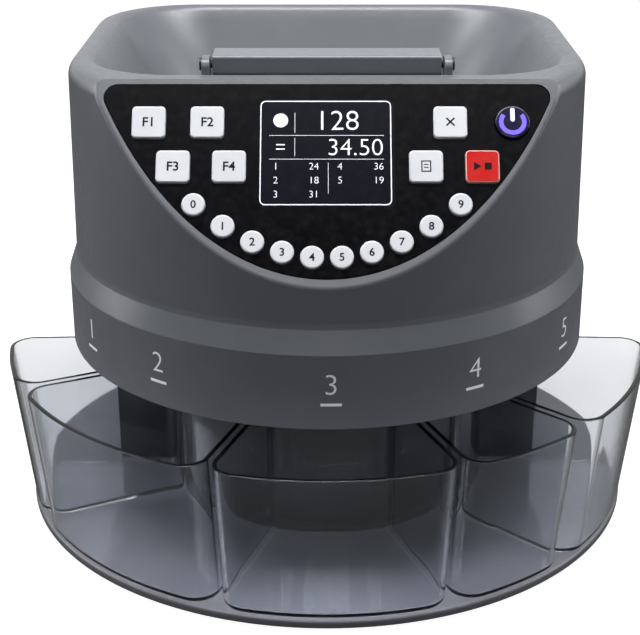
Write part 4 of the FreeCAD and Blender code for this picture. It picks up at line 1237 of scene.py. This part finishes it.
key_marks = {}
for number in range(1, 5):
    figure = lettering("mark", "F%d" % number, FUNCTION_HEIGHT, weight=MARK_WEIGHT)
    key_marks["function_key_%d" % number] = [figure]
key_marks["clear_key"] = [slanted(degrees) for degrees in (45, -45)]
key_marks["print_key"] = [bar("mark", *line) for line in SHEET]
key_marks["start_stop_key"] = [flat_mark("mark", START), bar("mark", *STOP)]
for name, pieces in key_marks.items():
    mark = joined(name + "_mark", pieces)
    lay(mark, panel_place(*SQUARE_KEYS[name]), MARK_LIFT)
    fit_out(mark, name, "panel_black", ink_dark)
print("key marks", len(key_marks) + DIGITS)

# %% Power symbol
RING_OUT = 6.7
RING_IN = 4.5
RING_END = 130.0
STEM_HALF = 1.05
STEM = (1.2, 6.3)
RING_STEPS = 40
STEM_STEPS = 10

ring = arc(0, 0, RING_OUT, -RING_END, RING_END, RING_STEPS)
ring += arc(0, 0, RING_IN, RING_END, -RING_END, RING_STEPS)
stem = arc(0, STEM[0], STEM_HALF, -90, 90, STEM_STEPS)
stem += arc(0, STEM[1], STEM_HALF, 90, 270, STEM_STEPS)
for name, outline, finish in (("power_ring", ring, power_light), ("power_stem", stem, power_white)):
    piece = flat_mark(name, outline)
    lay(piece, panel_place(*POWER_UV), MARK_LIFT)
    fit_out(piece, "power_button", "key_power", finish)
print("power symbol", len(ring), "points")

# %% [markdown]
# ## Display
# The window is a dark pane with a light line round it. The figures shown are plain counts: one total,
# one sum, and a short list of outlets with their counts, parted by fine rules.

# %% Frame of the display
PANE_TOP = -0.3
FRAME_HALF = (31.8, 26.8)
FRAME_MIDDLE = (-0.6, 63.8)
FRAME_LINE = 0.52
FRAME_CORNER = 2.6
FRAME_STEPS = 6


def frame_loop(inset, n):
    """The outline of the frame round the display, drawn in by an inset, at a height over the pane."""
    half_u = FRAME_HALF[0] - inset
    half_v = FRAME_HALF[1] - inset
    corner = FRAME_CORNER - inset
    right = [(0, -half_v)] + arc(half_u - corner, corner - half_v, corner, 0, 90, FRAME_STEPS)
    right += arc(half_u - corner, half_v - corner, corner, 90, 180, FRAME_STEPS)
    return [((u + FRAME_MIDDLE[0]) * MM, (v + FRAME_MIDDLE[1]) * MM, n * MM) for u, v in mirrored(right)]


frame_loops = [frame_loop(*place) for place in ((0, 0), (0, INK), (FRAME_LINE, INK), (FRAME_LINE, 0))]
shown = [skin("display_frame", frame_loops)]
print("display frame", len(frame_loops[0]), "points")

# %% Rules and figures of the display
RULE = 0.21
RULE_ENDS = (-28.0, 27.5)
RULES_ACROSS = (72.5, 60.3)
RULES_UP = ((-15.7, 73.9, 84.3), (-15.7, 61.9, 71.3), (0.5, 42.8, 58.5))
THIN = -0.012
COUNT = ("128", 9.9, 5.0, 80.4)
SUM = ("34.50", 8.4, 27.5, 66.6)
SUM_MARKS = ((-24.6, -20.4, 65.3, 65.9), (-24.6, -20.4, 67.5, 68.1))
COUNT_MARK = (-22.5, 80.4, 3.6)
COUNT_STEPS = 32
# Both ends of each column of the list, and its outlets with their counts
COLUMNS = (
    (-26.0, -3.8, (("1", "24"), ("2", "18"), ("3", "31"))),
    (5.0, 27.5, (("4", "36"), ("5", "19"))),
)
ROW_V = 56.8
ROW_PITCH = 7.1
ROW_HEIGHT = 3.4
ROW_WEIGHT = -0.014

shown += [bar("rule", *RULE_ENDS, v, v + RULE) for v in RULES_ACROSS]
shown += [bar("rule", u, u + RULE, low, high) for u, low, high in RULES_UP]
shown.append(lettering("count", *COUNT, weight=THIN))
shown.append(lettering("sum", *SUM, "RIGHT", THIN))
for left, right, rows in COLUMNS:
    for row, (outlet, count) in enumerate(rows):
        v = ROW_V - ROW_PITCH * row
        shown.append(lettering("row", outlet, ROW_HEIGHT, left, v, "LEFT", ROW_WEIGHT))
        shown.append(lettering("row", count, ROW_HEIGHT, right, v, "RIGHT", ROW_WEIGHT))
shown += [bar("sum_mark", *line) for line in SUM_MARKS]
shown.append(flat_mark("count_mark", arc(*COUNT_MARK, -180, 180, COUNT_STEPS)[:-1]))
figures = joined("display_figures", shown)
lay(figures, PANEL, PANE_TOP)
fit_out(figures, "chassis", "display_dark", display_light)
print("display marks", len(shown))

# %% [markdown]
# ## Numbers on the skirt
# Each outlet has its number printed on the skirt, in thin white figures with a short bar beneath. The
# flat lettering is bent round the skirt: its sideways place becomes an angle about the disc axis.

# %% Skirt numbers
SKIRT_MARKS = (-58.9, -35.8, 0.8, 30.6, 60.0)
MARK_Z = 119.5
FIGURE_HEIGHT = 10.5
FIGURE_RISE = 2.0
UNDERLINE = (-5.2, 5.2, -9.4, -7.9)

for number, angle in enumerate(SKIRT_MARKS, 1):
    figure = lettering("figure", str(number), FIGURE_HEIGHT, 0, FIGURE_RISE, weight=THIN)
    mark = joined("skirt_number_%d" % number, [figure, bar("underline", *UNDERLINE)])
    choose(mark, "FACE")
    bpy.ops.mesh.subdivide(number_cuts=2)
    leave()
    for point in mark.data.vertices:
        turn = math.radians(angle) + point.co.x / (SKIRT_R * MM)
        reach = SKIRT_R + point.co.z / MM
        point.co = at(reach * math.sin(turn), -reach * math.cos(turn), MARK_Z + point.co.y / MM)
    fit_out(mark, "chassis", "key_white", ink_white)
print("skirt numbers", len(SKIRT_MARKS))
